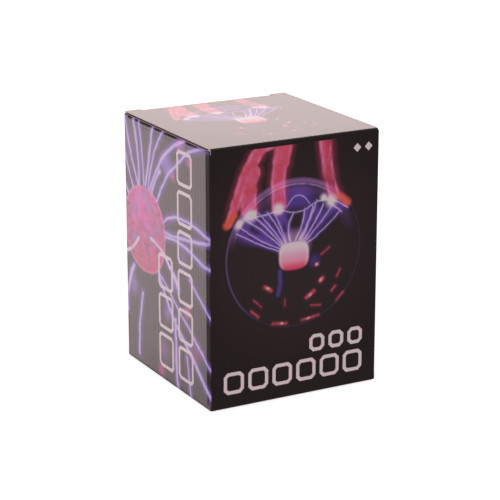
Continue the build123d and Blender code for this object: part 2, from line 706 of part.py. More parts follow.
# Slide switch: a hollow body on the board and the slider that sticks out of the rear skin.
SW_BODY_W = 11.0
SW_BODY_L = 5.4
SW_BODY_H = 4.6
SW_FACE_Y = 42.4
SW_SHELL = 0.6
SW_ROOM = 3.0  # depth of the room that the slider's plate moves in
SW_SLOT_H = 2.0
PLATE_W = 4.8
PLATE_H = 2.9
PLATE_T = 2.4
STALK_W = 2.4
STALK_H = 1.6
KNOB_W = 3.0
KNOB_H = 2.6
KNOB_R = 0.4
KNOB_FROM = SW_FACE_Y + 1.2
KNOB_Y = 47.6
with BuildPart() as switch_body:
    with BuildSketch(Plane.XZ.offset(-SW_FACE_Y)):
        with Locations((SWITCH_X, SWITCH_Z)):
            Rectangle(SW_BODY_W, SW_BODY_H)
    extrude(amount=SW_BODY_L)
    with BuildSketch(Plane.XZ.offset(-(SW_FACE_Y - SW_SHELL))):
        with Locations((SWITCH_X, SWITCH_Z)):
            Rectangle(SW_BODY_W - 2 * SW_SHELL, SW_BODY_H - 2 * SW_SHELL)
    extrude(amount=SW_ROOM, mode=Mode.SUBTRACT)
    with BuildSketch(Plane.XZ.offset(-SW_FACE_Y)):
        with Locations((SWITCH_X, SWITCH_Z)):
            Rectangle(SWITCH_TRAVEL + KNOB_W, SW_SLOT_H)
    extrude(amount=SW_SHELL, mode=Mode.SUBTRACT)
finish(switch_body.part, "switch_body")

slider_x = SWITCH_X - SWITCH_TRAVEL / 2  # at rest it stands at the off end
plate_y = SW_FACE_Y - SW_SHELL - 2 * GAP
with BuildPart() as slider:
    with BuildSketch(Plane.XZ.offset(-plate_y)):
        with Locations((slider_x, SWITCH_Z)):
            Rectangle(PLATE_W, PLATE_H)
    extrude(amount=PLATE_T)
    with BuildSketch(Plane.XZ.offset(-plate_y)):
        with Locations((slider_x, SWITCH_Z)):
            Rectangle(STALK_W, STALK_H)
    extrude(amount=plate_y - KNOB_FROM - GAP)
    with BuildSketch(Plane.XZ.offset(-KNOB_FROM)):
        with Locations((slider_x, SWITCH_Z)):
            RectangleRounded(KNOB_W, KNOB_H, KNOB_R)
    extrude(amount=KNOB_FROM - KNOB_Y)
finish(slider.part, "switch_slider")

# ================================================================ write the parts
os.makedirs("parts", exist_ok=True)
for piece in finished:
    export_step(piece, f"parts/{piece.label}.step")
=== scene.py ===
"""Looks for the boxed plasma ball: the printed carton, its card insert, and the ball that stands inside.

Shapes are drawn in millimetres and turned into metres as each mesh is made. Every mesh keeps its rest place,
in millimetres, in the attribute "rest", so a print or a grain stays where it is when a flap turns.
"""

import json
import math
import random

import bmesh
import bpy
import numpy as np
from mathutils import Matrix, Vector


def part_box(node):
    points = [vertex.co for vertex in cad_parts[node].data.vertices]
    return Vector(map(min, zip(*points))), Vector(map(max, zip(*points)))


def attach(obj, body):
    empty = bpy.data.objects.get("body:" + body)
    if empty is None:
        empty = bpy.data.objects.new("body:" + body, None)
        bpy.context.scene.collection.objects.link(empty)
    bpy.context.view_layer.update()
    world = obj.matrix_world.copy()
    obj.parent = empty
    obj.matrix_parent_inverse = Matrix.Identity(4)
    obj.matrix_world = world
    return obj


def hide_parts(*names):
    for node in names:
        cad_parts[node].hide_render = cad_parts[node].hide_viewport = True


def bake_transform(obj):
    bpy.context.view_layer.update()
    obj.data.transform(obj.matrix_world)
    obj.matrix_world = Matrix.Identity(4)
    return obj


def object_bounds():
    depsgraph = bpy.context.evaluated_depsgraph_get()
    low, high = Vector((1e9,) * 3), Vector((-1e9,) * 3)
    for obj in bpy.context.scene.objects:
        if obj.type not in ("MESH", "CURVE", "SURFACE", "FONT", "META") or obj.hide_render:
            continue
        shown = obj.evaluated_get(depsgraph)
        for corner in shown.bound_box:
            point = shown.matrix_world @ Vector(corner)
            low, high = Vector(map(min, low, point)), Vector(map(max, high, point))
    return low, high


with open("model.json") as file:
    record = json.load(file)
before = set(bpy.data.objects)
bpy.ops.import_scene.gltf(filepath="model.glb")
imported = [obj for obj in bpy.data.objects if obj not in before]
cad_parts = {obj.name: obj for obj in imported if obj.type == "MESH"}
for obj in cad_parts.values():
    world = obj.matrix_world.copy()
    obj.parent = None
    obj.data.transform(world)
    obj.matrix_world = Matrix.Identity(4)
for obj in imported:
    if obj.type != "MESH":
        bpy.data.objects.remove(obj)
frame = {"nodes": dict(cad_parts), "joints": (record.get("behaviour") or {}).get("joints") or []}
cad_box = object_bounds()

MM = 1000.0  # millimetres in a metre


def box_mm(node):
    """Lowest and highest corner of a CAD node, in millimetres."""
    low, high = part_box(node)
    return Vector(low) * MM, Vector(high) * MM


def joint_mm(name):
    """Where a hinge's axis stands, in millimetres."""
    return Vector(next(j["pos_m"] for j in frame["joints"] if j["name"] == name)) * MM


# ------------------------------------------------------------------ sizes, all from the frame
HALF = cad_box[1].x * MM  # half of the carton's width and depth
HEIGHT = cad_box[1].z * MM
lid_low, lid_high = box_mm("lid_panel")
BOARD = lid_high.z - lid_low.z
INNER = HALF - BOARD
LID_HINGE = joint_mm("lid_hinge")
TUCK_HINGE = joint_mm("tuck_hinge")
DUST_HINGE = joint_mm("dust_right_hinge")
SIDE_TOP = box_mm("right_panel")[1].z
GLOBE_R = (box_mm("glass_globe")[1].x - box_mm("glass_globe")[0].x) / 2
GLOBE_Z = box_mm("glass_globe")[1].z - GLOBE_R
CORNER_R = 1.0  # outer radius of the upright creases
ROLL_R = 1.3  # outer radius of the fold at the carton's foot
LINER = 0.24  # thickness of the paper on each face of the board
FLUTE_PITCH = 3.3
FLUTE_STEPS = 12  # per flute
FLUTE_PAPER = 0.18  # thickness of the fluted paper
FLUTE_INSET = 0.05  # how far it ends short of the board's cut edge
FOLD = 1.6  # how far a crease strip reaches onto the boards beside it


# ---- shader writing
class Value:
    """A shader socket that takes part in plain arithmetic."""

    def __init__(self, tree, socket):
        self.tree = tree
        self.socket = socket

    def __add__(self, other):
        return self.tree.math("ADD", self, other)

    def __sub__(self, other):
        return self.tree.math("SUBTRACT", self, other)

    def __rsub__(self, other):
        return self.tree.math("SUBTRACT", other, self)

    def __mul__(self, other):
        return self.tree.math("MULTIPLY", self, other)

    def __abs__(self):
        return self.tree.math("ABSOLUTE", self)

    __radd__ = __add__
    __rmul__ = __mul__


class Tree:
    """Writes the nodes of one material or world, in the order in which they are worked out."""

    def __init__(self, owner):
        self.owner = owner
        owner.use_nodes = True
        self.nodes = owner.node_tree.nodes
        self.links = owner.node_tree.links
        self.nodes.clear()

    def feed(self, socket, value):
        if isinstance(value, Value):
            self.links.new(value.socket, socket)
        elif value is not None:
            rgba = socket.type == "RGBA" and len(value) == 3
            socket.default_value = (*value, 1.0) if rgba else value

    def node(self, kind, *values, out=0, **settings):
        node = self.nodes.new("ShaderNode" + kind)
        for key, value in settings.items():
            setattr(node, key, value)
        for socket, value in zip(node.inputs, values):
            self.feed(socket, value)
        return Value(self, node.outputs[out])

    def math(self, operation, a, b=None):
        return self.node("Math", a, b, operation=operation)

    def vector(self, operation, a, b=None, c=None, scale=None):
        number = operation in ("LENGTH", "DISTANCE", "DOT_PRODUCT")
        return self.node("VectorMath", a, b, c, scale, out=1 if number else 0, operation=operation)

    def ramp(self, value, low, high):
        """0 at low and 1 at high, smooth between them; low may be the greater."""
        return self.node("MapRange", value, low, high, 0.0, 1.0, interpolation_type="SMOOTHSTEP", clamp=False)

    def between(self, share, a, b, blend="MIX"):
        """Colour a where share is 0 and b where it is 1."""
        node = self.nodes.new("ShaderNodeMix")
        node.data_type = "RGBA"
        node.blend_type = blend
        self.feed(node.inputs[0], share)
        self.feed(node.inputs[6], a)
        self.feed(node.inputs[7], b)
        return Value(self, node.outputs[2])

    def noise(self, place, scale, detail, roughness=0.5):
        node = self.nodes.new("ShaderNodeTexNoise")
        self.feed(node.inputs["Vector"], place)
        node.inputs["Scale"].default_value = scale
        node.inputs["Detail"].default_value = detail
        node.inputs["Roughness"].default_value = roughness
        return Value(self, node.outputs[0])

    def parts(self, vector):
        node = self.nodes.new("ShaderNodeSeparateXYZ")
        self.feed(node.inputs[0], vector)
        return [Value(self, socket) for socket in node.outputs]

    def point(self, x, y, z=0.0):
        return self.node("CombineXYZ", x, y, z)

    def rest(self):
        """Rest place in millimetres, of a mesh made here."""
        return self.node("Attribute", out=1, attribute_name="rest")

    def bump(self, height, strength, depth_mm):
        """A normal from a height of 0 to 1 that stands for depth_mm."""
        node = self.nodes.new("ShaderNodeBump")
        node.inputs["Strength"].default_value = strength
        node.inputs["Distance"].default_value = depth_mm / MM
        self.feed(node.inputs["Height"], height)
        return Value(self, node.outputs[0])

    def surface(self, colour, normal, roughness, **settings):
        """Ends the material with a Principled shader. Constants go on the shader's own sockets."""
        shader = self.nodes.new("ShaderNodeBsdfPrincipled")
        self.feed(shader.inputs["Base Color"], colour)
        self.feed(shader.inputs["Roughness"], roughness)
        if normal is not None:
            self.feed(shader.inputs["Normal"], normal)
        for key, value in settings.items():
            self.feed(shader.inputs[key.replace("_", " ")], value)
        output = self.nodes.new("ShaderNodeOutputMaterial")
        self.links.new(shader.outputs[0], output.inputs["Surface"])
        return self.owner


def new_tree(name):
    return Tree(bpy.data.materials.new(name))


# ---- the printed pictures
class Picture:
    """A print, built up over a ground of dark ink. Places are in millimetres on the panel."""

    def __init__(self, tree, x, y, ground):
        self.tree = tree
        self.x = x
        self.y = y
        self.flat = tree.point(x, y)
        self.wavy = self.flat
        self.colour = ground

    def stir(self, size, reach):
        """Makes self.wavy: places moved about by up to half of reach, in swirls of about that size."""
        elsewhere = self.tree.vector("ADD", self.flat, (310.0, 170.0, 0.0))
        swirl = [self.tree.noise(place, 1.0 / size, 2.0, 0.55) for place in (self.flat, elsewhere)]
        moved = self.tree.vector("MULTIPLY_ADD", self.tree.point(*swirl), (reach, reach, 0.0), self.flat)
        self.wavy = self.tree.vector("SUBTRACT", moved, (reach / 2, reach / 2, 0.0))

    def glow(self, amount, tint):
        """Adds light of that tint. A blend of colours alone keeps the shader's stack short."""
        self.colour = self.tree.between(amount, self.colour, tint, "ADD")

    def paint(self, share, colour):
        self.colour = self.tree.between(share, self.colour, colour)

    def to_point(self, spot, place=None):
        return self.tree.vector("DISTANCE", place or self.flat, (*spot, 0.0))

    def to_line(self, a, b, bow):
        """Distance to the line from a to b, bowed sideways by bow at its middle."""
        tree = self.tree
        run = Vector((b[0] - a[0], b[1] - a[1], 0.0))
        from_a = tree.vector("SUBTRACT", self.wavy, (*a, 0.0))
        share = tree.vector("DOT_PRODUCT", from_a, tuple(run / run.length_squared))
        share = tree.math("MINIMUM", tree.math("MAXIMUM", share, 0.0), 1.0)
        near = tree.vector("SCALE", tuple(run), scale=share)
        if bow:
            side = Vector((-run.y, run.x, 0.0)).normalized() * 4.0 * bow
            near = tree.vector("ADD", near, tree.vector("SCALE", tuple(side), scale=share * (1.0 - share)))
        return tree.vector("DISTANCE", from_a, near)

    def nearest(self, lines):
        """Distance to the nearest of several lines, each (x, y, x, y, bow, half width)."""
        found = None
        for ax, ay, bx, by, bow, half_width in lines:
            gap = self.to_line((ax, ay), (bx, by), bow) - half_width
            found = gap if found is None else self.tree.math("MINIMUM", found, gap)
        return found

    def frames(self, start, end, count, middle, half, upright=False):
        """A row of plain frames with cut corners, where the carton had a word."""
        tree = self.tree
        along, across = (self.y, self.x) if upright else (self.x, self.y)
        pitch = (end - start + FRAME_GAP) / count
        room = (pitch - FRAME_GAP) / 2
        turn = tree.math("MODULO", along - start, pitch)
        off_x = abs(turn - room) - room
        off_y = abs(across - middle) - half
        edge = tree.math("MAXIMUM", off_x, off_y)
        edge = tree.math("MAXIMUM", edge, (off_x + off_y + FRAME_CUT) * math.sqrt(0.5))
        stroke = FRAME_STROKE / 2
        line = tree.ramp(abs(edge + stroke), stroke + EDGE, stroke - EDGE)
        reach = (end - start) / 2
        inside = tree.ramp(abs(along - (start + end) / 2), reach + 2 * EDGE, reach + EDGE)
        return line * inside


EDGE = 0.12  # half of the width over which a frame's line fades out
FRAME_GAP = 2.8  # between two frames
FRAME_CUT = 2.4  # how much of a frame's corner is cut off
FRAME_STROKE = 2.1  # width of a frame's line
INK = (0.0085, 0.0040, 0.0045)
PAPER_WHITE = (0.78, 0.675, 0.70)  # the palest print on the front, the back and the lid
SIDE_WHITE = (0.84, 0.79, 0.80)  # the side panels' frames, before the limit below
SIDE_PALEST = (0.84, 0.74, 0.95)  # the palest print on the sides
CORE_DROP = 1.7  # how far the printed core stands below the globe's centre
GLOBE_PRINT_R = 43.7  # radius of the printed globe
FINGERS = [  # lines, as Picture.nearest takes them, from the printed globe's centre, y up
    (-42, 22.5, -38, 32, 0.3, 2.8), (-38, 32, -33.2, 44.5, 0.3, 3.6), (-33.2, 44.5, -27, 56, 0.9, 3.9),
    (-27, 56, -17, 67.5, 0.8, 4.2), (-29.5, 29.5, -29.6, 40, 0.2, 5.6), (-29.6, 40, -26.6, 50, 0.4, 4.9),
    (-19, 65, -6, 66.5, 0.6, 4.4), (-10.2, 28.5, -10.8, 42, 0, 4.9), (-10.8, 42, -9, 54, 0.3, 5.1),
    (-9, 54, -5.4, 68, 0.5, 5.8), (26, 31.5, 22.6, 42, 0.4, 3.9), (22.6, 42, 20.8, 54, 0.3, 4.2),
    (20.8, 54, 19.2, 69, 0, 4.6),
]
FINGERTIPS = [  # orange ends
    (-43.2, 21.8, -39, 27, 0, 2.3), (28.5, 30, 34.8, 25, 0.5, 2.2),
]
STREAMERS = [  # from the core out to where the fingers touch the glass
    (-8.5, 1.5, -37.5, 16.5, 0.6, 0), (-8, 3, -35.5, 20, 1.2, 0), (-8, 4, -31.5, 23.5, -0.8, 0),
    (-7.5, 5, -27, 25.5, -0.6, 0.1), (-7, 5.5, -23, 26, -0.5, 0), (-6, 6.5, -17.5, 26, -0.6, 0.1),
    (-5.5, 6.5, -13, 25, -0.4, 0), (-3, 7.5, -0.5, 24, 2.2, 0.15), (0.5, 7.5, 6.5, 25, -1.2, 0.15),
    (3, 7.5, 12, 26, -1, 0.1), (4, 7, 14.5, 29, -0.5, 0.15), (5.5, 6.5, 18.5, 26, -1, 0.1),
    (6.5, 5.5, 24, 24, -0.6, 0), (8, 4.5, 30, 21, -1, 0), (-31, 25, -10, 27, -1.4, 0.15),
    (-10, 27, 8, 25, -2, 0), (8, 25, 22, 28.5, 1.4, 0.1), (-5, 27.5, 9.5, 28, 5.8, 0),
    (23, 26, 31, 20, 0.4, 0.1), (25, 28, 35, 22, 0.3, 0.1),
]
HOT_SPOTS = [  # white glows on the glass: x, y, size
    (-28, 25.5, 6.8), (-10.5, 27.3, 6.6), (24, 27.5, 7), (-35.5, 21.5, 4), (19, 30, 4.5),
]
FLECKS = [  # bearing from straight down, reach from the globe's centre, length, slant, half width
    (-42, 25.5, 4.5, -35, 0.9), (-42, 36, 7, -44, 0.1), (-38, 41.5, 6, -42, 0.5), (-13, 42, 9, -6, 0.6),
    (15, 42, 11, 8, 0.5), (22, 28.5, 5.5, 32, 1), (44, 26, 2.2, 45, 1), (59, 17.5, 1, 10, 0.8),
    (85, 20.5, 6.5, 32, 0.2), (61, 33.5, 5, 60, 0.15), (46, 36.5, 3.6, 45, 0.45), (45, 43, 6.5, 45, 0.35),
    (23, 36.5, 6, -6, 0.2), (-12, 29.5, 3.6, 86, 0.1),
]
SPARKS = [  # bright points in the flecks
    (14.6, -9), (17.6, -18.8), (10.5, -27), (-17, -18.5), (-8, -41.2), (9.5, -40.8),
]


def fleck_line(bearing, reach, length, slant, half_width):
    """A fleck as one of the lines that Picture.nearest takes."""
    angle = math.radians(bearing)
    tilt = math.radians(slant)
    x, y = reach * math.sin(angle), -reach * math.cos(angle)
    dx, dy = length / 2 * math.cos(tilt), length / 2 * math.sin(tilt)
    return x - dx, y - dy, x + dx, y + dy, 0.0, half_width


def globe_picture(tree, x, y, words):
    """A glowing globe that fingers touch from above. x and y are from its centre; words adds the frames."""
    ground = tree.between(tree.noise(tree.point(x, y), 0.05, 3.0), INK, tuple(c * 1.25 for c in INK))
    art = Picture(tree, x, y, ground)
    art.stir(7.0, 1.3)
    out = art.to_point((0.0, 0.0))
    art.glow(tree.ramp(out, 78.0, 22.0), (0.014, 0.010, 0.0115))
    upper = tree.ramp(y, 4.0, 27.0)
    skin = tree.noise(art.flat, 0.14, 3.0)
    side = tree.noise(tree.point(x, y * 0.3), 0.3, 2.0)

    # fingers, lit from below, with a paler skin along their outer sides
    gap = art.nearest(FINGERS)
    flesh = tree.between(tree.ramp(skin, 0.35, 0.65), (0.70, 0.085, 0.155), (0.74, 0.13, 0.27))
    flesh = tree.between(tree.ramp(x, 14.0, 24.0) * tree.ramp(side, 0.7, 0.35), flesh, (0.42, 0.045, 0.10))
    art.glow(tree.ramp(gap, 4.0, 0.0) * tree.ramp(y, 20.0, 34.0), (0.10, 0.010, 0.025))
    art.paint(tree.ramp(gap, 0.6, -1.6) * (0.80 + 0.25 * side), flesh)
    art.glow(tree.ramp(abs(gap + 1.3), 1.5, 0.0) * tree.ramp(side, 0.40, 0.60), (0.09, 0.08, 0.13))
    art.paint(tree.ramp(gap, -1.5, -4.8) * 0.30, (0.60, 0.055, 0.085))
    if words:
        art.paint(tree.ramp(art.nearest(FINGERTIPS), 1.4, -1.6), (0.74, 0.11, 0.065))

    # glass: a lavender band over the top and a thin line round the rest
    crown = tree.ramp(x + y * -0.35, 26.0, 4.0) * upper
    art.glow(tree.ramp(abs(out - (GLOBE_PRINT_R - 1.4)), 2.2, 0.2) * crown, (0.20, 0.085, 0.25))
    art.glow(tree.ramp(abs(out - (GLOBE_PRINT_R - 3.4)), 0.8, 0.1) * crown * side, (0.40, 0.30, 0.42))
    art.glow(tree.ramp(abs(out - (GLOBE_PRINT_R - 6.0)), 6.0, 0.0) * upper, (0.055, 0.02, 0.10))
    art.glow(tree.ramp(abs(out - GLOBE_PRINT_R), 0.7, 0.0) * (0.3 + side), (0.020, 0.014, 0.055))
    art.glow(tree.ramp(abs(out - GLOBE_PRINT_R), 1.0, 0.0) * tree.ramp(x, -24.0, -41.0), (0.06, 0.045, 0.13))

    # blue-violet haze that fans up from the core
    bearing = tree.math("ARCTAN2", x, y + CORE_DROP)
    rays = tree.noise(tree.point(bearing, out * 0.01), 7.0, 3.0)
    fan_left = tree.ramp(bearing, -1.30, -1.08) * tree.ramp(bearing, -0.06, -0.24)
    fan_right = tree.ramp(bearing, 0.17, 0.34) * tree.ramp(bearing, 1.02, 0.74)
    within = tree.ramp(y, 29.0, 23.0) * tree.ramp(out, GLOBE_PRINT_R, GLOBE_PRINT_R - 5.0)
    art.glow((fan_left + fan_right) * within * tree.ramp(rays, 0.22, 0.78), (0.125, 0.055, 0.42))
    art.glow(tree.ramp(art.to_point((2.5, 30.5)), 13.0, 4.0) * tree.ramp(y, 24.0, 29.0), (0.06, 0.03, 0.26))
    art.glow(tree.ramp(art.to_line((-9.5, -10.0), (-10.6, -23.5), 0.8), 2.3, 0.3), (0.05, 0.035, 0.22))
    art.glow(tree.ramp(art.to_point((13.0, -6.5), art.wavy), 6.0, 0.5), (0.03, 0.015, 0.15))

    # streamers and the spots where they meet the glass
    gap = art.nearest(STREAMERS)
    art.glow(tree.ramp(gap, 2.2, 0.0), (0.055, 0.026, 0.15))
    art.glow(tree.ramp(gap, 0.55, 0.05) * (0.35 + 0.8 * side), (0.46, 0.40, 0.58))
    for spot_x, spot_y, size in HOT_SPOTS:
        near = tree.ramp(art.to_point((spot_x, spot_y), art.wavy), size, 0.0)
        art.glow(near * near, (0.95, 0.85, 0.95))
    art.glow(tree.ramp(art.to_line((-37.0, 20.0), (-26.0, 26.5), 1.0), 3.0, 0.0), (0.42, 0.34, 0.44))

    # the core: a soft square, white above and red below
    across = abs(x + 0.3) * (1.0 / 9.6)
    rise = abs(y + CORE_DROP) * (1.0 / 8.3)
    bulk = across * across * across + rise * rise * rise
    art.glow(tree.ramp(art.to_point((0.0, 3.5), art.wavy), 13.0, 6.0), (0.26, 0.16, 0.26))
    core = tree.between(tree.ramp(y, 5.0, -3.5), (0.79, 0.66, 0.80), (0.80, 0.36, 0.50))
    core = tree.between(tree.ramp(y, -3.0, -9.0), core, (0.84, 0.075, 0.17))
    art.paint(tree.ramp(bulk, 1.3, 0.65), core)
    art.glow(tree.ramp(abs(bulk - 0.85), 0.4, 0.0) * tree.ramp(abs(x), 5.0, 9.0), (0.20, 0.17, 0.20))

    # reflections in the lower glass
    gap = art.nearest([fleck_line(*fleck) for fleck in FLECKS])
    art.glow(tree.ramp(gap, 2.6, 0.0), (0.035, 0.004, 0.010))
    art.paint(tree.ramp(gap, 0.9, -0.7) * (0.25 + 1.1 * side), (0.66, 0.08, 0.14))
    spark = None
    for spot in SPARKS:
        near = art.to_point(spot, art.wavy)
        spark = near if spark is None else tree.math("MINIMUM", spark, near)
    art.glow(tree.ramp(spark, 1.9, 0.0) * tree.ramp(gap, 0.7, -0.3), (0.30, 0.34, 0.34))
    if words:
        art.paint(art.frames(-45.6, 46.3, 6, -72.0, 6.6), PAPER_WHITE)
        art.paint(art.frames(10.4, 46.3, 3, -56.5, 5.2), PAPER_WHITE)
        art.paint(art.frames(38.6, 51.0, 2, 56.6, 2.6), PAPER_WHITE)
    return tree.between(1.0, art.colour, PAPER_WHITE, "DARKEN")


SIDE_CORE = (-28.0, 10.4)  # centre of the big core on the side panels, from the panel's centre
SIDE_RAYS = [  # from the core out to the panel's edges
    (-36, 36, -54, 76, 2, 0.1), (-35, 37, -43, 76, -2.4, 0.5), (-28.5, 38, -35, 76, -1.6, 0.1),
    (-26, 38, -16.5, 76, -1, 0.4), (-22, 37, -1.5, 76, 3.4, 0.1), (-42, 32, -56, 58, 1.4, 0.1),
    (-48, 26, -57, 36, 0.4, 0.3), (-20, 36, 24, 75, 6, 0.3), (-18, 34, -8, 50, 0.8, 0.3),
    (-11, 32, 21, 64, 2.6, 0.2), (21, 64, 54, 76, 2.4, 0.2), (-2, 21.5, 32, 28.5, 3.4, 0.1),
    (32, 28.5, 57, 24.5, 0.6, 0.3), (-5, 15.5, 18, 17, -0.6, 0.1), (18, 17, 57, 24, -1.2, 0.3),
    (0, 13, 30, 12, 1.6, 0.2), (30, 12, 57, 7, -0.6, 0.2), (-20, 7, 5, -3.5, 2, 0.3),
    (5, -3.5, 16, -14, 1, 0.8), (-14, -9, 20, -30, 1, 0), (20, -30, 57, -54, 1.2, 0.1),
    (-9, -13, 14, -38, -1.4, 0.3), (14, -38, 57, -72, 1.6, 0.6), (30, -5, 57, -24, 0.8, 0),
    (-44, -16, -54, -46, -3, 0.8), (-32, -30, -38, -70, -1.4, 0.3), (12, -34, 14, -76, -0.8, 0.5),
    (26, -52, 30, -76, 0, 0), (-57, -10, -36, 3, -1.6, 0.3), (-57, 26, -44, 20, 0, 0.1),
]
SIDE_SPOTS = [  # soft coloured spots between the streamers: x, y, size, tint
    (10, 51.5, 5, (0.56, 0.1, 0.36)), (31, 64, 5.5, (0.5, 0.08, 0.26)), (2, 57, 11, (0.3, 0.2, 0.72)),
    (-7, 51, 3, (0.6, 0.5, 0.75)), (20, 73, 9, (0.42, 0.16, 0.56)), (27, -25, 7, (0.56, 0.12, 0.42)),
    (37, -46, 11, (0.26, 0.06, 0.22)), (-8, -72, 7, (0.48, 0.06, 0.26)), (1, -33, 8, (0.22, 0.13, 0.46)),
    (-45, -28, 12, (0.22, 0.14, 0.46)), (-4, -58, 14, (0.16, 0.05, 0.2)), (12, -12, 9, (0.24, 0.2, 0.56)),
    (22, 5, 11, (0.17, 0.09, 0.3)), (-50, 60, 14, (0.13, 0.06, 0.24)),
]
CORE_SPOTS = [  # violet spots on the core: x, y, size
    (-42.5, 20, 6.5), (-21, 26, 6), (-19, 7.5, 6), (-41, 1.5, 6.5), (-28, 32, 7), (-9, 15, 5),
]
CORE_RAYS = [(-57, -10, -36, 3, -1.6, 0.4), (-20, 7, 5, -3.5, 2, 0.4)]  # that run in front of the core


def side_picture(tree, x, y):
    """A close view of the core, with streamers to the edges. x and y are from the panel's centre, y up."""
    ground = tree.between(tree.noise(tree.point(x, y), 0.05, 3.0), INK, tuple(c * 1.5 for c in INK))
    art = Picture(tree, x, y, ground)
    art.stir(16.0, 3.2)
    mottle = tree.noise(art.flat, 0.12, 5.0, 0.66)
    veins = tree.noise(tree.point(x * 0.6 + y * 0.25, y), 0.16, 4.0, 0.6)
    for spot_x, spot_y, size, tint in SIDE_SPOTS:
        art.glow(tree.ramp(art.to_point((spot_x, spot_y), art.wavy), size, 0.0) * (0.3 + 1.2 * mottle), tint)
    gap = art.nearest(SIDE_RAYS)
    art.glow(tree.ramp(gap, 4.6, 0.0) * (0.3 + mottle), (0.18, 0.10, 0.50))
    art.glow(tree.ramp(gap, 1.3, 0.1) * (0.45 + 0.75 * veins), (0.58, 0.50, 1.0))

    # the core, with a mottled pink skin and a pale rim
    across = abs(x - SIDE_CORE[0]) * (1.0 / 27.5)
    rise = abs(y - SIDE_CORE[1]) * (1.0 / 26.0)
    bulk = tree.math("POWER", across, 2.2) + tree.math("POWER", rise, 2.2)
    skin = tree.between(tree.ramp(mottle, 0.36, 0.62), (0.60, 0.055, 0.20), (0.72, 0.12, 0.46))
    skin = tree.between(tree.ramp(veins, 0.5, 0.62), skin, (0.40, 0.06, 0.20))
    skin = tree.between(tree.ramp(y, 2.0, -14.0) * 0.7, skin, (0.66, 0.07, 0.17))
    body = tree.ramp(bulk, 1.06, 0.95)
    art.paint(body, skin)
    art.glow(tree.ramp(art.to_point((-30.0, 24.0), art.wavy), 22.0, 4.0) * body * mottle, (0.42, 0.06, 0.40))
    art.glow(tree.ramp(abs(bulk - 0.97), 0.15, 0.0) * (0.3 + mottle), (0.20, 0.13, 0.20))
    for spot_x, spot_y, size in CORE_SPOTS:
        near = tree.ramp(art.to_point((spot_x, spot_y), art.wavy), size, 0.5)
        art.paint(near * (0.25 + mottle), (0.34, 0.22, 0.60))
    art.glow(tree.ramp(art.nearest(CORE_RAYS), 1.3, 0.1), (0.36, 0.52, 0.50))
    art.paint(art.frames(-68.6, 69.0, 6, 24.6, 9.4, upright=True), SIDE_WHITE)
    art.paint(art.frames(-68.6, 2.0, 3, -0.6, 9.6, upright=True), SIDE_WHITE)
    return tree.between(1.0, art.colour, SIDE_PALEST, "DARKEN")


def film(tree, colour, along, across_flutes, ribs=1.0):
    """Ends a print: gloss film over board, whose flutes show as faint ribs, as strongly as ribs says."""
    rib = tree.math("SINE", across_flutes * (2 * math.pi / FLUTE_PITCH))
    patch = tree.noise(tree.point(across_flutes, along * 0.25), 0.12, 2.0)
    fine = tree.noise(tree.point(across_flutes, along), 1.1, 3.0, 0.6)
    height = rib * (0.10 * ribs + 0.35 * ribs * patch) + fine * 0.45
    normal = tree.bump(height, 0.55, 0.10)
    return tree.surface(colour, normal, 0.2, Specular_IOR_Level=0.5)


GLOBE_DOWN = 66.4  # from the front panel's top edge down to the printed globe's centre
LID_GLOBE = (0.6, -0.75)  # the printed globe's centre on the lid
LID_SCALE = 0.9  # size of the lid's picture beside the front one
GLOBE_ACROSS = -1.0  # the printed globe stands this far from the panel's middle


def front_print(name, turn):
    """The globe picture on the front panel, or half a turn round on the back panel."""
    tree = new_tree(name)
    x, _, z = tree.parts(tree.rest())
    across = x * turn
    picture = globe_picture(tree, across - GLOBE_ACROSS, z - (HEIGHT - GLOBE_DOWN), True)
    return film(tree, picture, z, across)


def side_print(name, turn):
    """The core picture on the left panel, or half a turn round on the right panel."""
    tree = new_tree(name)
    _, y, z = tree.parts(tree.rest())
    across = y * turn
    return film(tree, side_picture(tree, across, z - HEIGHT / 2), z, across)


def lid_print(name):
    tree = new_tree(name)
    x, y, _ = tree.parts(tree.rest())
    across = (x - LID_GLOBE[0]) * (1 / LID_SCALE)
    up = (y - LID_GLOBE[1]) * (1 / LID_SCALE)
    return film(tree, globe_picture(tree, across, up, False), y, x, 0.25)


def plain_print(name, flutes_along_x):
    """Flaps with nothing but ink on them."""
    tree = new_tree(name)
    x, y, z = tree.parts(tree.rest())
    ink = tree.between(tree.noise(tree.point(x, y, z), 0.08, 3.0), INK, tuple(c * 1.3 for c in INK))
    along, across = (x, y) if flutes_along_x else (y, x)
    return film(tree, ink, along, across)


# ---- paper and board
def paper(name, light, dark, fleck, fibre=0.9):
    """Uncoated paper: long soft fibres, darker specks, and no shine."""
    tree = new_tree(name)
    place = tree.rest()
    x, y, z = tree.parts(place)
    fibres = tree.noise(tree.point(x * 3.0, y * 0.7, z * 0.7), fibre, 4.0, 0.65)
    cloud = tree.noise(place, 0.06, 3.0)
    colour = tree.between(tree.ramp(fibres, 0.3, 0.72), light, dark)
    colour = tree.between(tree.ramp(cloud, 0.35, 0.8) * 0.3, colour, dark)
    specks = tree.ramp(tree.noise(place, 2.3, 2.0, 0.7), 0.66, 0.74)
    colour = tree.between(specks * 0.6, colour, fleck)
    return tree.surface(colour, tree.bump(fibres, 0.35, 0.08), 0.86, Specular_IOR_Level=0.25)


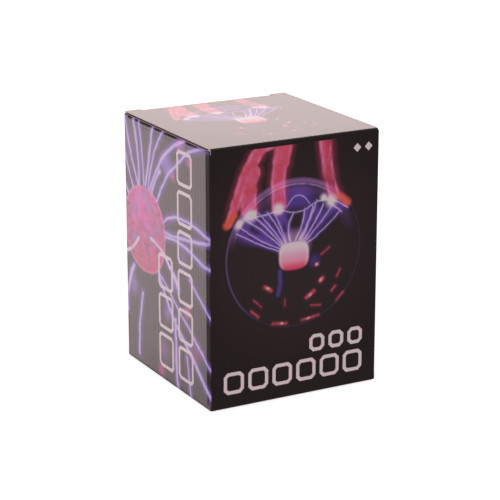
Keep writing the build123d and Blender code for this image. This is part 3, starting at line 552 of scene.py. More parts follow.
FRONT = front_print("front_print", 1.0)
BACK = front_print("back_print", -1.0)
LEFT = side_print("left_print", -1.0)
RIGHT = side_print("right_print", 1.0)
LID = lid_print("lid_print")
PLAIN = plain_print("plain_print", False)
PLAIN_SIDE = plain_print("plain_print_side", True)
LINING = paper("pale_liner", (0.66, 0.62, 0.57), (0.55, 0.51, 0.46), (0.30, 0.24, 0.18))
RAW = paper("raw_board_edge", (0.30, 0.20, 0.14), (0.17, 0.11, 0.07), (0.10, 0.06, 0.04), 1.6)
PALE_EDGE = paper("liner_edge", (0.84, 0.76, 0.72), (0.68, 0.58, 0.52), (0.40, 0.30, 0.22), 1.6)
KRAFT = paper("kraft_board", (0.44, 0.29, 0.165), (0.35, 0.22, 0.12), (0.16, 0.09, 0.05))
PRINTED_BOARD = [PLAIN, LINING, RAW, PALE_EDGE]
LINED_BOARD = [LINING, LINING, RAW, PALE_EDGE]


# ---- meshes
class Shape:
    """Points and faces gathered before they become a mesh."""

    def __init__(self):
        self.points = []
        self.faces = []
        self.choice = []

    def prism(self, low_loop, high_loop, low, high, side):
        """A closed solid between two loops; the numbers choose the materials of its ends and sides."""
        first = len(self.points)
        count = len(low_loop)
        self.points += [tuple(p) for p in low_loop] + [tuple(p) for p in high_loop]
        self.face([first + i for i in reversed(range(count))], low)
        self.face([first + count + i for i in range(count)], high)
        for i in range(count):
            j = (i + 1) % count
            self.face([first + i, first + j, first + count + j, first + count + i], side)

    def face(self, corners, choice):
        self.faces.append(corners)
        self.choice.append(choice)

    def grid(self, rows, choice, closed=False):
        """Quads over rows of points of equal length; returns the index of the first point."""
        first = len(self.points)
        width = len(rows[0])
        for row in rows:
            self.points += [tuple(p) for p in row]
        for r in range(len(rows) - 1):
            for c in range(width if closed else width - 1):
                d = (c + 1) % width
                a = first + r * width
                self.face([a + c, a + d, a + width + d, a + width + c], choice)
        return first

    def shell(self, outer_rows, inner_rows, outer, inner, rim):
        """A closed sheet between two grids of the same size."""
        height, width = len(outer_rows), len(outer_rows[0])
        a = self.grid(outer_rows, outer)
        b = self.grid(inner_rows, inner)
        last = (height - 1) * width
        for c in range(width - 1):
            self.face([a + c, a + c + 1, b + c + 1, b + c], rim)
            self.face([a + last + c, a + last + c + 1, b + last + c + 1, b + last + c], rim)
        for r in range(height - 1):
            for side in (0, width - 1):
                i = r * width + side
                self.face([a + i, a + i + width, b + i + width, b + i], rim)

    def turned(self, rows):
        """A closed solid from rows of points that go once round it, the last row joined to the first."""
        first = self.grid(rows, 0, closed=True)
        count = len(rows[0])
        last = first + (len(rows) - 1) * count
        for i in range(count):
            j = (i + 1) % count
            self.face([last + i, last + j, first + j, first + i], 0)

    def make(self, name, materials, sharp=35.0):
        """The object, in metres, with its rest places kept. Edges sharper than sharp degrees stay crisp."""
        mesh = bpy.data.meshes.new(name)
        coords = np.array(self.points, float)
        mesh.from_pydata((coords / MM).tolist(), [], self.faces)
        for material in materials:
            mesh.materials.append(material)
        mesh.polygons.foreach_set("material_index", self.choice)
        rest = mesh.attributes.new("rest", "FLOAT_VECTOR", "POINT")
        rest.data.foreach_set("vector", coords.astype(np.float32).ravel())
        tidy = bmesh.new()
        tidy.from_mesh(mesh)
        bmesh.ops.recalc_face_normals(tidy, faces=tidy.faces)
        tidy.to_mesh(mesh)
        tidy.free()
        mesh.shade_smooth()
        mesh.set_sharp_from_angle(angle=math.radians(sharp))
        piece = bpy.data.objects.new(name, mesh)
        bpy.context.scene.collection.objects.link(piece)
        return piece


def wave(shape, place, start, end, spans, low, high, choice):
    """The fluted paper between two liners. spans(a) lists where board begins and ends along a flute at a."""
    steps = max(8, round((end - start) / FLUTE_PITCH * FLUTE_STEPS))
    swing = (high - low - FLUTE_PAPER) / 2
    middle = (low + high) / 2
    last = None
    for step in range(steps + 1):
        a = start + (end - start) * step / steps
        t = middle + swing * math.sin(2 * math.pi * a / FLUTE_PITCH)
        ribs = []
        for begin, finish in spans(a):
            first = len(shape.points)
            for along, out in ((begin, -1), (finish, -1), (finish, 1), (begin, 1)):
                shape.points.append(tuple(place(a, along, t + out * FLUTE_PAPER / 2)))
            ribs.append([first, first + 1, first + 2, first + 3])
        if last is not None and len(last) == len(ribs):
            for old, new in zip(last, ribs):
                for i in range(4):
                    j = (i + 1) % 4
                    shape.face([old[i], old[j], new[j], new[i]], choice)
        for rib in ribs:
            if last is None or step == steps or len(last) != len(ribs):
                shape.face(list(rib), choice)
        last = ribs


def settle(piece, body, slot, *nodes):
    """Puts a piece on its body, in place of the CAD nodes that it stands for."""
    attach(piece, body)
    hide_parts(*nodes)


def flat_piece(name, nodes, body, slot, place, outline, spans, materials):
    """A flat piece of fluted board. place(a, along, out) gives a point; out is 0 on the inner face.

    materials are those of the outer face, the inner face, the flutes and the cut edges of the liners.
    """
    shape = Shape()
    for low, high in ((0.0, LINER), (BOARD - LINER, BOARD)):
        outer = 0 if low else 2
        inner = 2 if low else 1
        loops = [[place(a, f, level) for a, f in outline] for level in (low, high)]
        shape.prism(*loops, inner, outer, 3)
    start = min(a for a, _ in outline) + FLUTE_INSET
    end = max(a for a, _ in outline) - FLUTE_INSET
    wave(shape, place, start, end, spans, LINER, BOARD - LINER, 2)
    settle(shape.make(name, materials), body, slot, *nodes)


ARC_STEPS = 7


def corner_arc(centre, radius, first, last):
    """Points on an arc of an outline, with bearings in degrees."""
    turns = [math.radians(first + (last - first) * i / ARC_STEPS) for i in range(ARC_STEPS + 1)]
    return [(centre[0] + radius * math.cos(t), centre[1] + radius * math.sin(t)) for t in turns]


# ---- carton walls
BULGE = 0.28  # how far a wall's middle stands out
SINK = 0.44  # how far the board sinks in beside the front left crease
SLIGHT_SINK = 0.10  # and beside the others
SINK_L = 4.4  # over this length
SQUEEZE = 1.15  # how much more than the liner the flutes give way there
BULGE_FOOT = 22.0  # height over which a wall's bulge sets in from its foot
BULGE_TOP = 12.0  # and from its top
WALL_STEPS = 60  # across a wall
RISE_STEPS = 26  # up a wall
BEND_STEPS = 6  # round half a corner, and round the foot


def sunk(turn, off, a):
    """How far a wall has sunk at a distance off a crease; a tells which one."""
    front_left = (turn == 0 and a < 0) or (turn == 270 and a > 0)
    return (SINK if front_left else SLIGHT_SINK) * (1.0 - min(1.0, max(0.0, off / SINK_L))) ** 2


def arch(share):
    """0 at 0, rising smoothly to 1 at 1 and beyond."""
    return math.sin(min(1.0, max(0.0, share)) * math.pi / 2)


def wall(name, node, turn, low_top, high_top, flap_half, print_material):
    """One wall of the sleeve, drawn as the front one and turned about Z.

    Where a flap is hinged, within flap_half of the middle, the wall stops at low_top, and a crease strip goes
    on from there. Beside the flap the wall reaches high_top.
    """
    cos_turn, sin_turn = math.cos(math.radians(turn)), math.sin(math.radians(turn))

    def place(a, up, out):
        x, y = a, -(INNER + out)
        return (x * cos_turn - y * sin_turn, x * sin_turn + y * cos_turn, up)

    # the wall seen from above: places across and outwards, and which way the board faces there
    straight = HALF - CORNER_R
    arc = []
    for k in range(BEND_STEPS + 1):
        lean = math.radians(45.0 * k / BEND_STEPS)
        na, nt = math.sin(lean), math.cos(lean)
        arc.append((straight + CORNER_R * na, CORNER_R * nt, na, nt))
    stops = np.linspace(-straight, straight, WALL_STEPS + 1).tolist()
    if flap_half < straight:
        stops = sorted(stops + [side * flap_half + off for side in (-1, 1) for off in (-0.02, 0.02)])
    profile = [(-a, t, -na, nt) for a, t, na, nt in reversed(arc[1:])]
    profile += [(a, CORNER_R, 0.0, 1.0) for a in stops] + arc[1:]
    base = BOARD - CORNER_R

    # the fold at the foot: heights and how far the board is drawn in, and which way it faces there
    heights = []
    for k in range(BEND_STEPS + 1):
        lean = math.radians(90.0 * k / BEND_STEPS)
        flat, down = math.sin(lean), -math.cos(lean)
        heights.append((ROLL_R * (1 + down), ROLL_R * (1 - flat), flat, down))
    shares = [(1 - math.cos(math.pi * i / RISE_STEPS)) / 2 for i in range(1, RISE_STEPS + 1)]

    def rows(depth):
        """The wall's surface at a depth below its outer face, row by row from the foot up."""
        made = []
        for up, inset, flat, down in heights:
            row = []
            for a, t, na, nt in profile:
                back = inset + depth * flat
                row.append(place(a - na * back, up - depth * down, base + t - nt * back))
            made.append(row)
        for share in shares:
            row = []
            for a, t, na, nt in profile:
                top = high_top if abs(a) > flap_half else low_top
                up = ROLL_R + (top - ROLL_R) * share
                swell = BULGE * max(0.0, math.cos(a / straight * math.pi / 2))
                swell *= arch(up / BULGE_FOOT) * arch((HEIGHT - up) / BULGE_TOP)
                aside = sunk(turn, straight - abs(a), a) * min(1.0, (up - ROLL_R) / SINK_L)
                across = a - na * depth - math.copysign(aside, a)
                row.append(place(across, up, base + t - nt * depth + swell - aside))
            made.append(row)
        return made

    shape = Shape()
    shape.shell(rows(0.0), rows(LINER), 0, 2, 2)
    floor = ROLL_R + 0.2  # where the inner liner begins, above the fold
    inner = [(-INNER, floor), (INNER, floor), (INNER, high_top), (flap_half, high_top), (flap_half, low_top),
             (-flap_half, low_top), (-flap_half, high_top), (-INNER, high_top)]
    shape.prism([place(a, up, 0.0) for a, up in inner], [place(a, up, LINER) for a, up in inner], 1, 2, 2)

    def spans(a):
        return [(floor, (high_top if abs(a) > flap_half else low_top) - 2 * FLUTE_INSET)]

    def fluted(a, along, out):
        """Flutes are squeezed where the outer liner has sunk."""
        squeeze = 1.0 - SQUEEZE * sunk(turn, straight - abs(a), a) / (BOARD - 2 * LINER)
        return place(a, along, LINER + (out - LINER) * squeeze)

    end = INNER - 2 * FLUTE_INSET
    wave(shape, fluted, -end, end, spans, LINER, BOARD - LINER - FLUTE_INSET, 2)
    settle(shape.make(name, [print_material, LINING, RAW]), "carton", "printed_card", node)


RAW_GAP = 0.15  # how far a raw edge stands back from the board beside it
FRONT_HALF = HALF - 1.0  # half length of the lid's crease
FRONT_TOP = LID_HINGE.z + 0.4  # where the two front corners end, beside that crease
dust_low, dust_high = box_mm("dust_flap_right")
DUST_HALF = dust_high.y + 0.8  # half length of a dust flap's crease
wall("front_wall", "front_panel", 0, LID_HINGE.z - FOLD, FRONT_TOP, FRONT_HALF, FRONT)
wall("right_wall", "right_panel", 90, DUST_HINGE.z - FOLD, SIDE_TOP - RAW_GAP, DUST_HALF, RIGHT)
wall("back_wall", "back_panel", 180, SIDE_TOP - 0.01, SIDE_TOP, DUST_HALF, BACK)
wall("left_wall", "left_panel", 270, DUST_HINGE.z - FOLD, SIDE_TOP - RAW_GAP, DUST_HALF, LEFT)


# ---- creases
TURN_STEPS = 10  # round a bend
CREASE_STEPS = 24  # along a crease
INNER_BEND = 0.1  # radius of a bend's inner face


def crease(name, hinge, into_fixed, fixed_out, into_flap, flap_out, half, materials):
    """The bent strip of board between a fixed board and a flap, with a straight end on each of them."""
    hinge, into_fixed, fixed_out = Vector(hinge), Vector(into_fixed), Vector(fixed_out)
    into_flap, flap_out = Vector(into_flap), Vector(flap_out)
    turn = fixed_out.angle(flap_out)
    outer, inner = [], []
    for share in (1.0, 0.5):
        outer.append(hinge + fixed_out * BOARD + into_fixed * FOLD * share)
        inner.append(hinge + into_fixed * FOLD * share)
    for step in range(TURN_STEPS + 1):
        part = step / TURN_STEPS
        toward = (fixed_out * math.sin((1 - part) * turn) + flap_out * math.sin(part * turn)) / math.sin(turn)
        outer.append(hinge + toward * BOARD)
        inner.append(hinge + toward * INNER_BEND)
    for share in (0.5, 1.0):
        outer.append(hinge + flap_out * BOARD + into_flap * FOLD * share)
        inner.append(hinge + into_flap * FOLD * share)
    axis = into_fixed.cross(fixed_out).normalized()
    columns = [half * (2 * i / CREASE_STEPS - 1) for i in range(CREASE_STEPS + 1)]
    shape = Shape()
    outer_rows = [[p + axis * a for p in outer] for a in columns]
    inner_rows = [[p + axis * a for p in inner] for a in columns]
    shape.shell(outer_rows, inner_rows, 0, 1, 2)
    piece = shape.make(name, materials, 50.0)
    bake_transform(piece)


X, Y, Z = Vector((1, 0, 0)), Vector((0, 1, 0)), Vector((0, 0, 1))
tuck_low, tuck_high = box_mm("tuck_flap")
TUCK_LEAN = math.atan2(tuck_high.y - tuck_low.y - BOARD, tuck_high.z - tuck_low.z)
for _ in range(4):  # the flap's own thickness tilts its box, so the lean is worked out in a few rounds
    deep = tuck_high.z - tuck_low.z - BOARD * math.sin(TUCK_LEAN)
    TUCK_LEAN = math.atan2(tuck_high.y - tuck_low.y - BOARD * math.cos(TUCK_LEAN), deep)
TUCK_DOWN = Vector((0, -math.sin(TUCK_LEAN), -math.cos(TUCK_LEAN)))
TUCK_OUT = Vector((0, math.cos(TUCK_LEAN), -math.sin(TUCK_LEAN)))
NECK_HALF = 43.6

crease("lid_crease", LID_HINGE, -Z, -Y, Y, Z, FRONT_HALF, [PLAIN, LINING, PALE_EDGE])
crease("tuck_crease", TUCK_HINGE, -Y, Z, TUCK_DOWN, TUCK_OUT, NECK_HALF,
       [PLAIN, LINING, RAW])
crease("dust_left_crease", (-DUST_HINGE.x, 0, DUST_HINGE.z), -Z, -X, X, Z, DUST_HALF,
       [LEFT, LINING, RAW])
crease("dust_right_crease", DUST_HINGE, -Z, X, -X, Z, DUST_HALF,
       [RIGHT, LINING, RAW])


# ---- flat boards of the carton
SHOULDER = 10.5
lid_neck = lid_high.x - SHOULDER
LID_FOLD = TUCK_HINGE.y - FOLD  # where the lid's board ends and its rear crease begins
lid_outline = [
    (-lid_high.x, lid_low.y), (lid_high.x, lid_low.y), (lid_high.x, lid_high.y), (lid_neck, lid_high.y),
    (lid_neck, LID_FOLD), (-lid_neck, LID_FOLD), (-lid_neck, lid_high.y), (-lid_high.x, lid_high.y),
]
flat_piece(
    "lid_board", ["lid_panel"], "lid", "printed_card", lambda a, f, t: (a, f, lid_low.z + t), lid_outline,
    lambda a: [(lid_low.y + FLUTE_INSET, (LID_FOLD if abs(a) < lid_neck else lid_high.y) - FLUTE_INSET)],
    [LID, LINING, RAW, PALE_EDGE],
)

TUCK_HALF = tuck_high.x
TUCK_L = (tuck_high.z - tuck_low.z - BOARD * math.sin(TUCK_LEAN)) / math.cos(TUCK_LEAN) + FOLD
TUCK_SLIT = 3.7
TUCK_CORNER = 9.0


def tuck_place(a, f, t):
    return Vector((a, TUCK_HINGE.y, TUCK_HINGE.z)) + TUCK_DOWN * f + TUCK_OUT * t


def tuck_spans(a):
    inside = max(0.0, abs(a) - (TUCK_HALF - TUCK_CORNER))
    tip = TUCK_L - TUCK_CORNER + math.sqrt(max(0.0, TUCK_CORNER**2 - inside**2))
    return [((FOLD if abs(a) < NECK_HALF else TUCK_SLIT) + FLUTE_INSET, tip - 0.08)]


tuck_outline = [(-NECK_HALF, FOLD), (NECK_HALF, FOLD), (NECK_HALF, TUCK_SLIT), (TUCK_HALF, TUCK_SLIT)]
tuck_outline += corner_arc((TUCK_HALF - TUCK_CORNER, TUCK_L - TUCK_CORNER), TUCK_CORNER, 0, 90)
tuck_outline += corner_arc((-TUCK_HALF + TUCK_CORNER, TUCK_L - TUCK_CORNER), TUCK_CORNER, 90, 180)
tuck_outline += [(-TUCK_HALF, TUCK_SLIT), (-NECK_HALF, TUCK_SLIT)]
flat_piece("tuck_board", ["tuck_flap"], "tuck", "printed_card", tuck_place, tuck_outline, tuck_spans,
           PRINTED_BOARD)

DUST_L = DUST_HINGE.x - dust_low.x
DUST_FRONT = dust_low.y  # front corner of the root
DUST_SLOPE = (DUST_L - FOLD) / math.tan(math.radians(44.0))
DUST_REAR = dust_high.y
DUST_NOTCH = (8.0, 6.0)
for side, node in ((1, "dust_flap_right"), (-1, "dust_flap_left")):
    def dust_place(a, f, t, side=side):
        return (side * (DUST_HINGE.x - f), a, DUST_HINGE.z + t)

    def dust_spans(a):
        tip = FOLD + (a - DUST_FRONT) * (DUST_L - FOLD) / DUST_SLOPE
        rear = DUST_L - max(0.0, a - (DUST_REAR - DUST_NOTCH[1])) * DUST_NOTCH[0] / DUST_NOTCH[1]
        return [(FOLD + FLUTE_INSET, max(FOLD + 2 * FLUTE_INSET, min(DUST_L, tip, rear) - FLUTE_INSET))]

    dust_outline = [
        (DUST_FRONT, FOLD), (DUST_FRONT + DUST_SLOPE, DUST_L), (DUST_REAR - DUST_NOTCH[1], DUST_L),
        (DUST_REAR, DUST_L - DUST_NOTCH[0]), (DUST_REAR, FOLD),
    ]
    flat_piece(node.replace("flap", "board"), [node], "dust_right" if side > 0 else "dust_left", "lined_card",
               dust_place, dust_outline, dust_spans, [PLAIN_SIDE, LINING, RAW, PALE_EDGE])

glue_low, glue_high = box_mm("glue_flap")
GLUE_BEVEL = 4.0
flat_piece(
    "glue_board", ["glue_flap"], "carton", "lined_card", lambda a, f, t: (glue_low.x + t, a, f),
    [(glue_high.y, glue_low.z), (glue_high.y, glue_high.z), (glue_low.y, glue_high.z - GLUE_BEVEL),
     (glue_low.y, glue_low.z + GLUE_BEVEL)],
    lambda a: [(glue_low.z + GLUE_BEVEL * (glue_high.y - a) / (glue_high.y - glue_low.y) + FLUTE_INSET,
                glue_high.z - GLUE_BEVEL * (glue_high.y - a) / (glue_high.y - glue_low.y) - FLUTE_INSET)],
    LINED_BOARD,
)

HOOK = [(INNER, 0.0), (24.0, 0.0), (16.0, -12.0), (4.0, -12.0)]
HOOK += [(-x, -y) for x, y in reversed(HOOK)]


def hook_at(a):
    """How far the front bottom flap reaches at a."""
    ordered = sorted(HOOK)
    return float(np.interp(a, [p[0] for p in ordered], [p[1] for p in ordered])) - RAW_GAP


for turn, node in ((1, "bottom_flap_front"), (-1, "bottom_flap_back")):
    flat_piece(
        node.replace("flap", "board"), [node], "carton", "printed_card",
        lambda a, f, t, turn=turn: (turn * a, turn * f, BOARD - t),
        [(x, y - RAW_GAP) for x, y in HOOK] + [(-INNER, -INNER), (INNER, -INNER)],
        lambda a: [(-INNER + FLUTE_INSET, hook_at(a) - FLUTE_INSET)], PRINTED_BOARD,
    )

wing_low, wing_high = box_mm("bottom_flap_right")
WING_TIP = 24.0
for turn, node in ((1, "bottom_flap_right"), (-1, "bottom_flap_left")):
    def wing_tip(a):
        share = max(0.0, (abs(a) - WING_TIP) / (wing_high.y - WING_TIP))
        return wing_low.x + share * (wing_high.x - wing_low.x)

    flat_piece(
        node.replace("flap", "board"), [node], "carton", "lined_card",
        lambda a, f, t, turn=turn: (turn * f, turn * a, wing_high.z - t),
        [(-wing_high.y, wing_high.x), (wing_high.y, wing_high.x), (WING_TIP, wing_low.x),
         (-WING_TIP, wing_low.x)],
        lambda a: [(min(wing_tip(a), wing_high.x - 4 * FLUTE_INSET) + 2 * FLUTE_INSET,
                    wing_high.x - FLUTE_INSET)],
        LINED_BOARD,
    )


# ---- card insert
pad_low, pad_high = box_mm("bottom_pad")
flat_piece(
    "insert_pad", ["bottom_pad"], "carton", "kraft_card", lambda a, f, t: (a, f, pad_low.z + t),
    [(-pad_high.x, -pad_high.y), (pad_high.x, -pad_high.y),
     (pad_high.x, pad_high.y), (-pad_high.x, pad_high.y)],
    lambda a: [(-pad_high.y + FLUTE_INSET, pad_high.y - FLUTE_INSET)], [KRAFT] * 4,
)
for side, node in enumerate(("insert_leg_front", "insert_leg_right", "insert_leg_back", "insert_leg_left")):
    leg_low, leg_high = box_mm(node)
    half = max(leg_high.x, leg_high.y) if side % 2 == 0 else leg_high.y
    reach = (-leg_low.y, leg_high.x, leg_high.y, -leg_low.x)[side]
    angle = math.radians(90.0 * side)

    def leg_place(a, f, t, angle=angle, reach=reach):
        x, y = a, -(reach - BOARD + t)
        return (x * math.cos(angle) - y * math.sin(angle), x * math.sin(angle) + y * math.cos(angle), f)

    flat_piece(
        node.replace("leg", "wall"), [node], "carton", "kraft_card", leg_place,
        [(-half, leg_low.z), (half, leg_low.z), (half, leg_high.z), (-half, leg_high.z)],
        lambda a, low=leg_low.z, high=leg_high.z: [(low + FLUTE_INSET, high - FLUTE_INSET)], [KRAFT] * 4,
    )

deck_low, deck_high = box_mm("insert_platform")
HOLE_R = 49.4  # the round hole that the ball stands in
HOLE_STEPS = 192


def deck_insert():
    """The insert's platform: a square board with a round hole that shows its flutes."""
    shape = Shape()
    half = deck_high.x
    ends = half - FLUTE_INSET
    ring, rim = [], []
    for i in range(HOLE_STEPS):
        across, along = math.cos(2 * math.pi * i / HOLE_STEPS), math.sin(2 * math.pi * i / HOLE_STEPS)
        longest = max(abs(across), abs(along))
        ring.append((HOLE_R * across, HOLE_R * along))
        rim.append((half * across / longest, half * along / longest))
    for low, high in ((0.0, LINER), (BOARD - LINER, BOARD)):
        loops = ((ring, low), (rim, low), (rim, high), (ring, high))
        shape.turned([[(*p, deck_low.z + level) for p in loop] for loop, level in loops])

    def spans(a):
        if abs(a) >= HOLE_R:
            return [(-ends, ends)]
        cut = math.sqrt(HOLE_R**2 - a**2) + 2 * FLUTE_INSET
        if cut > half - 0.3:  # hardly any board is left beside the hole
            return [(-ends, FLUTE_INSET - ends), (ends - FLUTE_INSET, ends)]
        return [(-ends, -cut), (cut, ends)]

    wave(shape, lambda a, f, t: (a, f, deck_low.z + t), -ends, ends, spans, LINER, BOARD - LINER, 0)
    settle(shape.make("insert_deck", [KRAFT]), "carton", "kraft_card", "insert_platform")


deck_insert()


# ---- the ball: materials
def object_place(tree):
    """Place in millimetres on a CAD node, which has no attribute of its own."""
    node = tree.nodes.new("ShaderNodeTexCoord")
    return tree.vector("SCALE", Value(tree, node.outputs["Object"]), scale=MM)


def moulded(name, colour, roughness, grain, depth, **settings):
    """Moulded plastic or rubber: an even colour with a fine grain and a few duller patches."""
    tree = new_tree(name)
    spot = object_place(tree)
    fine = tree.noise(spot, grain, 3.0, 0.6)
    patch = tree.noise(spot, 0.09, 3.0)
    shade = tree.between(patch, tuple(c * 0.86 for c in colour), tuple(min(1.0, c * 1.14) for c in colour))
    rough = roughness * 0.85 + patch * (roughness * 0.3)
    return tree.surface(shade, tree.bump(fine, 0.4, depth), rough, **settings)


def metal(name, colour, roughness, stretch):
    """Bare metal with a drawn or rolled grain, longest along the small number in stretch."""
    tree = new_tree(name)
    x, y, z = tree.parts(object_place(tree))
    grain = tree.noise(tree.point(x * stretch[0], y * stretch[1], z * stretch[2]), 1.0, 4.0, 0.6)
    shade = tree.between(grain, tuple(c * 0.8 for c in colour), colour)
    rough = roughness * 0.7 + grain * (roughness * 0.6)
    return tree.surface(shade, tree.bump(grain, 0.3, 0.01), rough, Metallic=1.0)


def clear_glass(name, tint, place):
    """Blown glass, with the faintest waves in its skin."""
    tree = new_tree(name)
    waves = tree.noise(place(tree), 0.05, 2.0)
    colour = tree.between(waves, tint, tuple(min(1.0, c * 1.01) for c in tint))
    return tree.surface(colour, tree.bump(waves, 0.25, 0.25), 0.0, Transmission_Weight=1.0, IOR=1.47)


def dress(material, *nodes):
    """Gives a CAD node's object a better material."""
    for node in nodes:
        data = frame["nodes"][node].data
        data.materials.clear()
        data.materials.append(material)


GLOBE_GLASS = clear_glass("globe_glass", (0.985, 0.992, 0.995), Tree.rest)


def board_mask():
    """Green solder mask with copper tracks that show faintly under it."""
    tree = new_tree("green_solder_mask")
    x, y, _ = tree.parts(object_place(tree))
    node = tree.nodes.new("ShaderNodeTexVoronoi")
    node.distance = "MANHATTAN"
    node.feature = "F1"
    tree.feed(node.inputs["Vector"], tree.point(x, y))
    node.inputs["Scale"].default_value = 0.22
    tracks = tree.ramp(abs(tree.math("FRACT", Value(tree, node.outputs["Distance"]) * 3.0) - 0.5), 0.10, 0.16)
    colour = tree.between(tracks, (0.03, 0.26, 0.10), (0.012, 0.13, 0.05))
    return tree.surface(colour, tree.bump(tracks, 0.5, 0.03), 0.3)


dress(moulded("black_moulding", (0.016, 0.016, 0.018), 0.22, 2.2, 0.012,
              Coat_Weight=0.25, Coat_Roughness=0.08),
      "base_housing")
dress(moulded("black_textured", (0.020, 0.020, 0.021), 0.55, 3.2, 0.05), "base_cover")
dress(moulded("silver_coating", (0.60, 0.60, 0.62), 0.26, 2.6, 0.01, Metallic=0.85), "trim_ring")
dress(moulded("black_rubber", (0.022, 0.022, 0.022), 0.8, 2.4, 0.04), "rubber_feet", "globe_gasket")
dress(moulded("white_silicone", (0.74, 0.74, 0.72), 0.45, 0.8, 0.05), "neck_sealant")
dress(moulded("red_sleeve", (0.42, 0.03, 0.02), 0.5, 1.6, 0.02), "electrode_lead")
dress(moulded("yellow_tape", (0.66, 0.44, 0.04), 0.35, 1.2, 0.02), "transformer_winding")
dress(moulded("dark_ferrite", (0.045, 0.045, 0.05), 0.6, 3.0, 0.04), "transformer_core")
dress(moulded("black_epoxy", (0.02, 0.02, 0.02), 0.4, 2.6, 0.03),
      "power_transistor", "usb_tongue", "switch_body")
dress(moulded("blue_shrink_sleeve", (0.015, 0.03, 0.12), 0.3, 1.4, 0.01), "electrolytic_capacitors")
dress(moulded("tan_lacquer", (0.52, 0.34, 0.18), 0.45, 1.8, 0.02), "resistors")
dress(moulded("knob_plastic", (0.03, 0.03, 0.032), 0.5, 3.0, 0.03), "switch_slider")
dress(metal("zinc_plate", (0.62, 0.62, 0.60), 0.3, (1.5, 1.5, 1.5)), "cover_screws", "board_screws")
dress(metal("drawn_aluminium", (0.72, 0.72, 0.73), 0.35, (2.5, 2.5, 0.15)), "heatsink")
dress(metal("plated_steel", (0.70, 0.70, 0.71), 0.2, (0.4, 2.0, 2.0)), "usb_shell")
dress(board_mask(), "circuit_board")
dress(clear_glass("stem_glass", (0.96, 0.98, 0.98), object_place), "electrode_stem", "exhaust_tip")


# ---- the ball: glass and wool
NECK_R = 12.2
GLASS_T = 1.6
NECK_FLARE = 2.5  # radius of the bend between neck and bulb
GLOBE_STEPS = 144  # round the globe
GLOBE_ROWS = 90  # from neck to pole


def globe_profile():
    """The glass's outer skin from the neck up, and back down inside, as (radius, height).

    The pole has a hole that is too small to see.
    """
    neck_low = box_mm("glass_globe")[0].z
    pole = 0.02
    reach = NECK_R + NECK_FLARE
    under = GLOBE_Z - math.sqrt((GLOBE_R + NECK_FLARE) ** 2 - reach**2)
    start = math.atan2(reach, GLOBE_Z - under)
    outer = [(NECK_R, neck_low)]
    outer += [(reach - NECK_FLARE * math.cos(t), under + NECK_FLARE * math.sin(t))
              for t in np.linspace(0.0, math.pi / 2 - start, 9)]
    outer += [(GLOBE_R * math.sin(t), GLOBE_Z - GLOBE_R * math.cos(t))
              for t in np.linspace(start, math.pi, GLOBE_ROWS)[1:-1]]
    outer += [(pole, GLOBE_Z + GLOBE_R)]
    inner_r = GLOBE_R - GLASS_T
    neck_in = NECK_R - GLASS_T
    begin = math.asin(neck_in / inner_r)
    inner = [(pole, GLOBE_Z + inner_r)]
    inner += [(inner_r * math.sin(t), GLOBE_Z - inner_r * math.cos(t))
              for t in np.linspace(math.pi, begin, GLOBE_ROWS)[1:]]
    inner += [(neck_in, neck_low)]
    return outer + inner


def blown_globe():
    shape = Shape()
    turns = [2 * math.pi * i / GLOBE_STEPS for i in range(GLOBE_STEPS)]
    shape.turned([[(r * math.cos(t), r * math.sin(t), z) for t in turns] for r, z in globe_profile()])
    settle(shape.make("blown_globe", [GLOBE_GLASS]), "plasma_ball", "globe_glass", "glass_globe")


blown_globe()


def wool_material():
    tree = new_tree("wire_wool")
    place = tree.rest()
    tone = tree.noise(place, 0.5, 3.0)
    colour = tree.between(tone, (0.10, 0.10, 0.105), (0.34, 0.33, 0.33))
    return tree.surface(colour, tree.bump(tone, 0.2, 0.02), 0.42, Metallic=1.0)


CURLS = 260
CURL_STEPS = 18
WIRE_R = 0.09


def wool():
    """A ball of fine wire: many short curls wound about one centre."""
    random.seed(7)
    low, high = box_mm("electrode_wool")
    radius = (high.x - low.x) / 2
    shape = Shape()
    for _ in range(CURLS):
        axis = Vector((random.gauss(0, 1), random.gauss(0, 1), random.gauss(0, 1))).normalized()
        side = axis.orthogonal().normalized()
        other = axis.cross(side)
        reach = radius * random.uniform(0.62, 0.965)
        tilt = random.uniform(-0.5, 0.5)
        begin = random.uniform(0, 2 * math.pi)
        sweep = random.uniform(1.2, 3.6)
        wobble = random.uniform(0.02, 0.09)
        rows = []
        for i in range(CURL_STEPS + 1):
            t = begin + sweep * i / CURL_STEPS
            out = side * math.cos(t) + other * math.sin(t) + axis * (tilt + wobble * math.sin(5 * t))
            out.normalize()
            spot = Vector((0, 0, GLOBE_Z)) + out * reach * (1 - wobble * 0.4 * (1 + math.cos(3 * t)))
            foot, aside = spot - out * 0.05, axis * WIRE_R
            rows.append([spot + out * WIRE_R, foot + aside, foot - aside])
        first = shape.grid(rows, 0, closed=True)
        last = first + CURL_STEPS * 3
        shape.face([first, first + 1, first + 2], 0)
        shape.face([last + 2, last + 1, last], 0)
    ball = shape.make("wire_wool_ball", [wool_material()], 80.0)
    settle(ball, "plasma_ball", "steel_wool", "electrode_wool")


wool()


# ---- camera, light and floor
WIDTH = 2 * HALF / MM
LENS_SENSOR = 36.0
CAMERA_AZIMUTH = math.radians(-28.673)
CAMERA_ELEVATION = math.radians(16.86)
CAMERA_REACH = 10.214 * WIDTH
CAMERA_TARGET = Vector((0.0041, 0.0, 0.6709)) * WIDTH
CAMERA_LENS = 136.0
WHITE = (1.0, 1.0, 1.0)


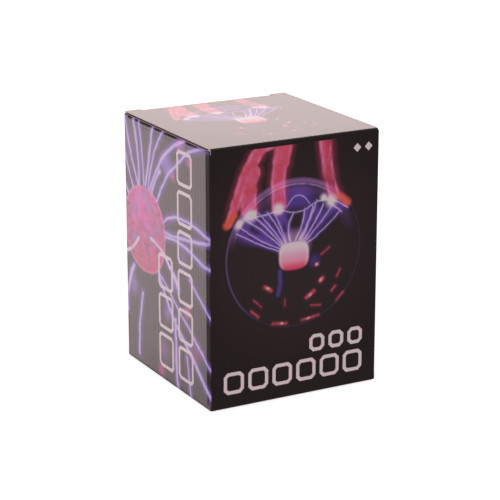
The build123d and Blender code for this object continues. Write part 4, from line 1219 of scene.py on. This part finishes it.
def add_camera():
    data = bpy.data.cameras.new("camera")
    data.sensor_width = LENS_SENSOR
    data.lens = CAMERA_LENS
    data.clip_start = 0.01
    data.clip_end = 100.0
    camera = bpy.data.objects.new("camera", data)
    bpy.context.scene.collection.objects.link(camera)
    back = Vector((math.sin(CAMERA_AZIMUTH) * math.cos(CAMERA_ELEVATION),
                   -math.cos(CAMERA_AZIMUTH) * math.cos(CAMERA_ELEVATION), math.sin(CAMERA_ELEVATION)))
    camera.location = CAMERA_TARGET + back * CAMERA_REACH
    camera.rotation_euler = (-back).to_track_quat("-Z", "Y").to_euler()
    bpy.context.scene.camera = camera


ROOM = (0.29, 0.235, 0.24)
CEILING = tuple(c + 0.25 for c in ROOM)
SOFT_BOXES = [  # toward it, degrees to where it fades and to where it ends, colour
    ((-0.504, -0.756, 0.42), 20, 40, (1.75, 1.72, 1.70)),
    ((0.467, 0.855, 0.223), 12, 27, (1.75, 1.46, 1.44)),
    ((-0.42, 0.86, -0.215), 5, 14, (1.90, 1.56, 1.60)),
]


def add_light():
    """A dim room with three soft boxes: one in front, and two behind that the lid and left side mirror."""
    world = bpy.data.worlds.new("studio")
    bpy.context.scene.world = world
    tree = Tree(world)
    coord = tree.nodes.new("ShaderNodeTexCoord")
    direction = Value(tree, coord.outputs["Generated"])
    z = tree.parts(direction)[2]
    light = tree.between(tree.ramp(z, 0.5, 1.0), ROOM, CEILING)
    for toward, full, none, tint in SOFT_BOXES:
        near = tree.vector("DOT_PRODUCT", direction, tuple(Vector(toward).normalized()))
        share = tree.ramp(near, math.cos(math.radians(none)), math.cos(math.radians(full)))
        light = tree.between(share, light, tint, "ADD")
    direct = tree.node("LightPath")
    through = Value(tree, direct.socket.node.outputs["Is Transmission Ray"])
    light = tree.between(direct + through, light, WHITE)
    background = tree.nodes.new("ShaderNodeBackground")
    tree.feed(background.inputs["Color"], light)
    background.inputs["Strength"].default_value = 1.0
    output = tree.nodes.new("ShaderNodeOutputWorld")
    tree.links.new(background.outputs[0], output.inputs["Surface"])


FLOOR_HALF = 8.0  # in metres, like FLOOR_Z
FLOOR_Z = -0.0002  # just under the carton
FLOOR_GLOW = 0.62


def add_floor():
    """A pale floor that only the camera sees, so the board's foot is lit as evenly as on a light table.

    It is clear from below, so the underside can be looked at.
    """
    tree = new_tree("pale_floor")
    coord = tree.nodes.new("ShaderNodeTexCoord")
    cloud = tree.noise(Value(tree, coord.outputs["Object"]), 3.0, 2.0)
    tone = tree.between(cloud, (0.93, 0.93, 0.93), (0.95, 0.95, 0.95))
    material = tree.surface(tone, None, 0.9, Emission_Color=WHITE, Emission_Strength=FLOOR_GLOW)
    output = tree.nodes["Material Output"]
    lit = output.inputs["Surface"].links[0].from_socket
    below = tree.node("NewGeometry").socket.node.outputs["Backfacing"]
    sides = tree.nodes.new("ShaderNodeMixShader")
    clear = tree.nodes.new("ShaderNodeBsdfTransparent")
    for source, target in zip((below, lit, clear.outputs[0]), sides.inputs):
        tree.links.new(source, target)
    tree.links.new(sides.outputs[0], output.inputs["Surface"])
    mesh = bpy.data.meshes.new("floor")
    corners = [(-FLOOR_HALF, -FLOOR_HALF, FLOOR_Z), (FLOOR_HALF, -FLOOR_HALF, FLOOR_Z),
               (FLOOR_HALF, FLOOR_HALF, FLOOR_Z), (-FLOOR_HALF, FLOOR_HALF, FLOOR_Z)]
    mesh.from_pydata(corners, [], [(0, 1, 2, 3)])
    mesh.materials.append(material)
    floor = bpy.data.objects.new("floor", mesh)
    bpy.context.scene.collection.objects.link(floor)
    for ray in ("diffuse", "glossy", "transmission", "shadow"):
        setattr(floor, "visible_" + ray, False)


add_camera()
add_light()
add_floor()
bpy.context.scene.view_settings.view_transform = "Standard"
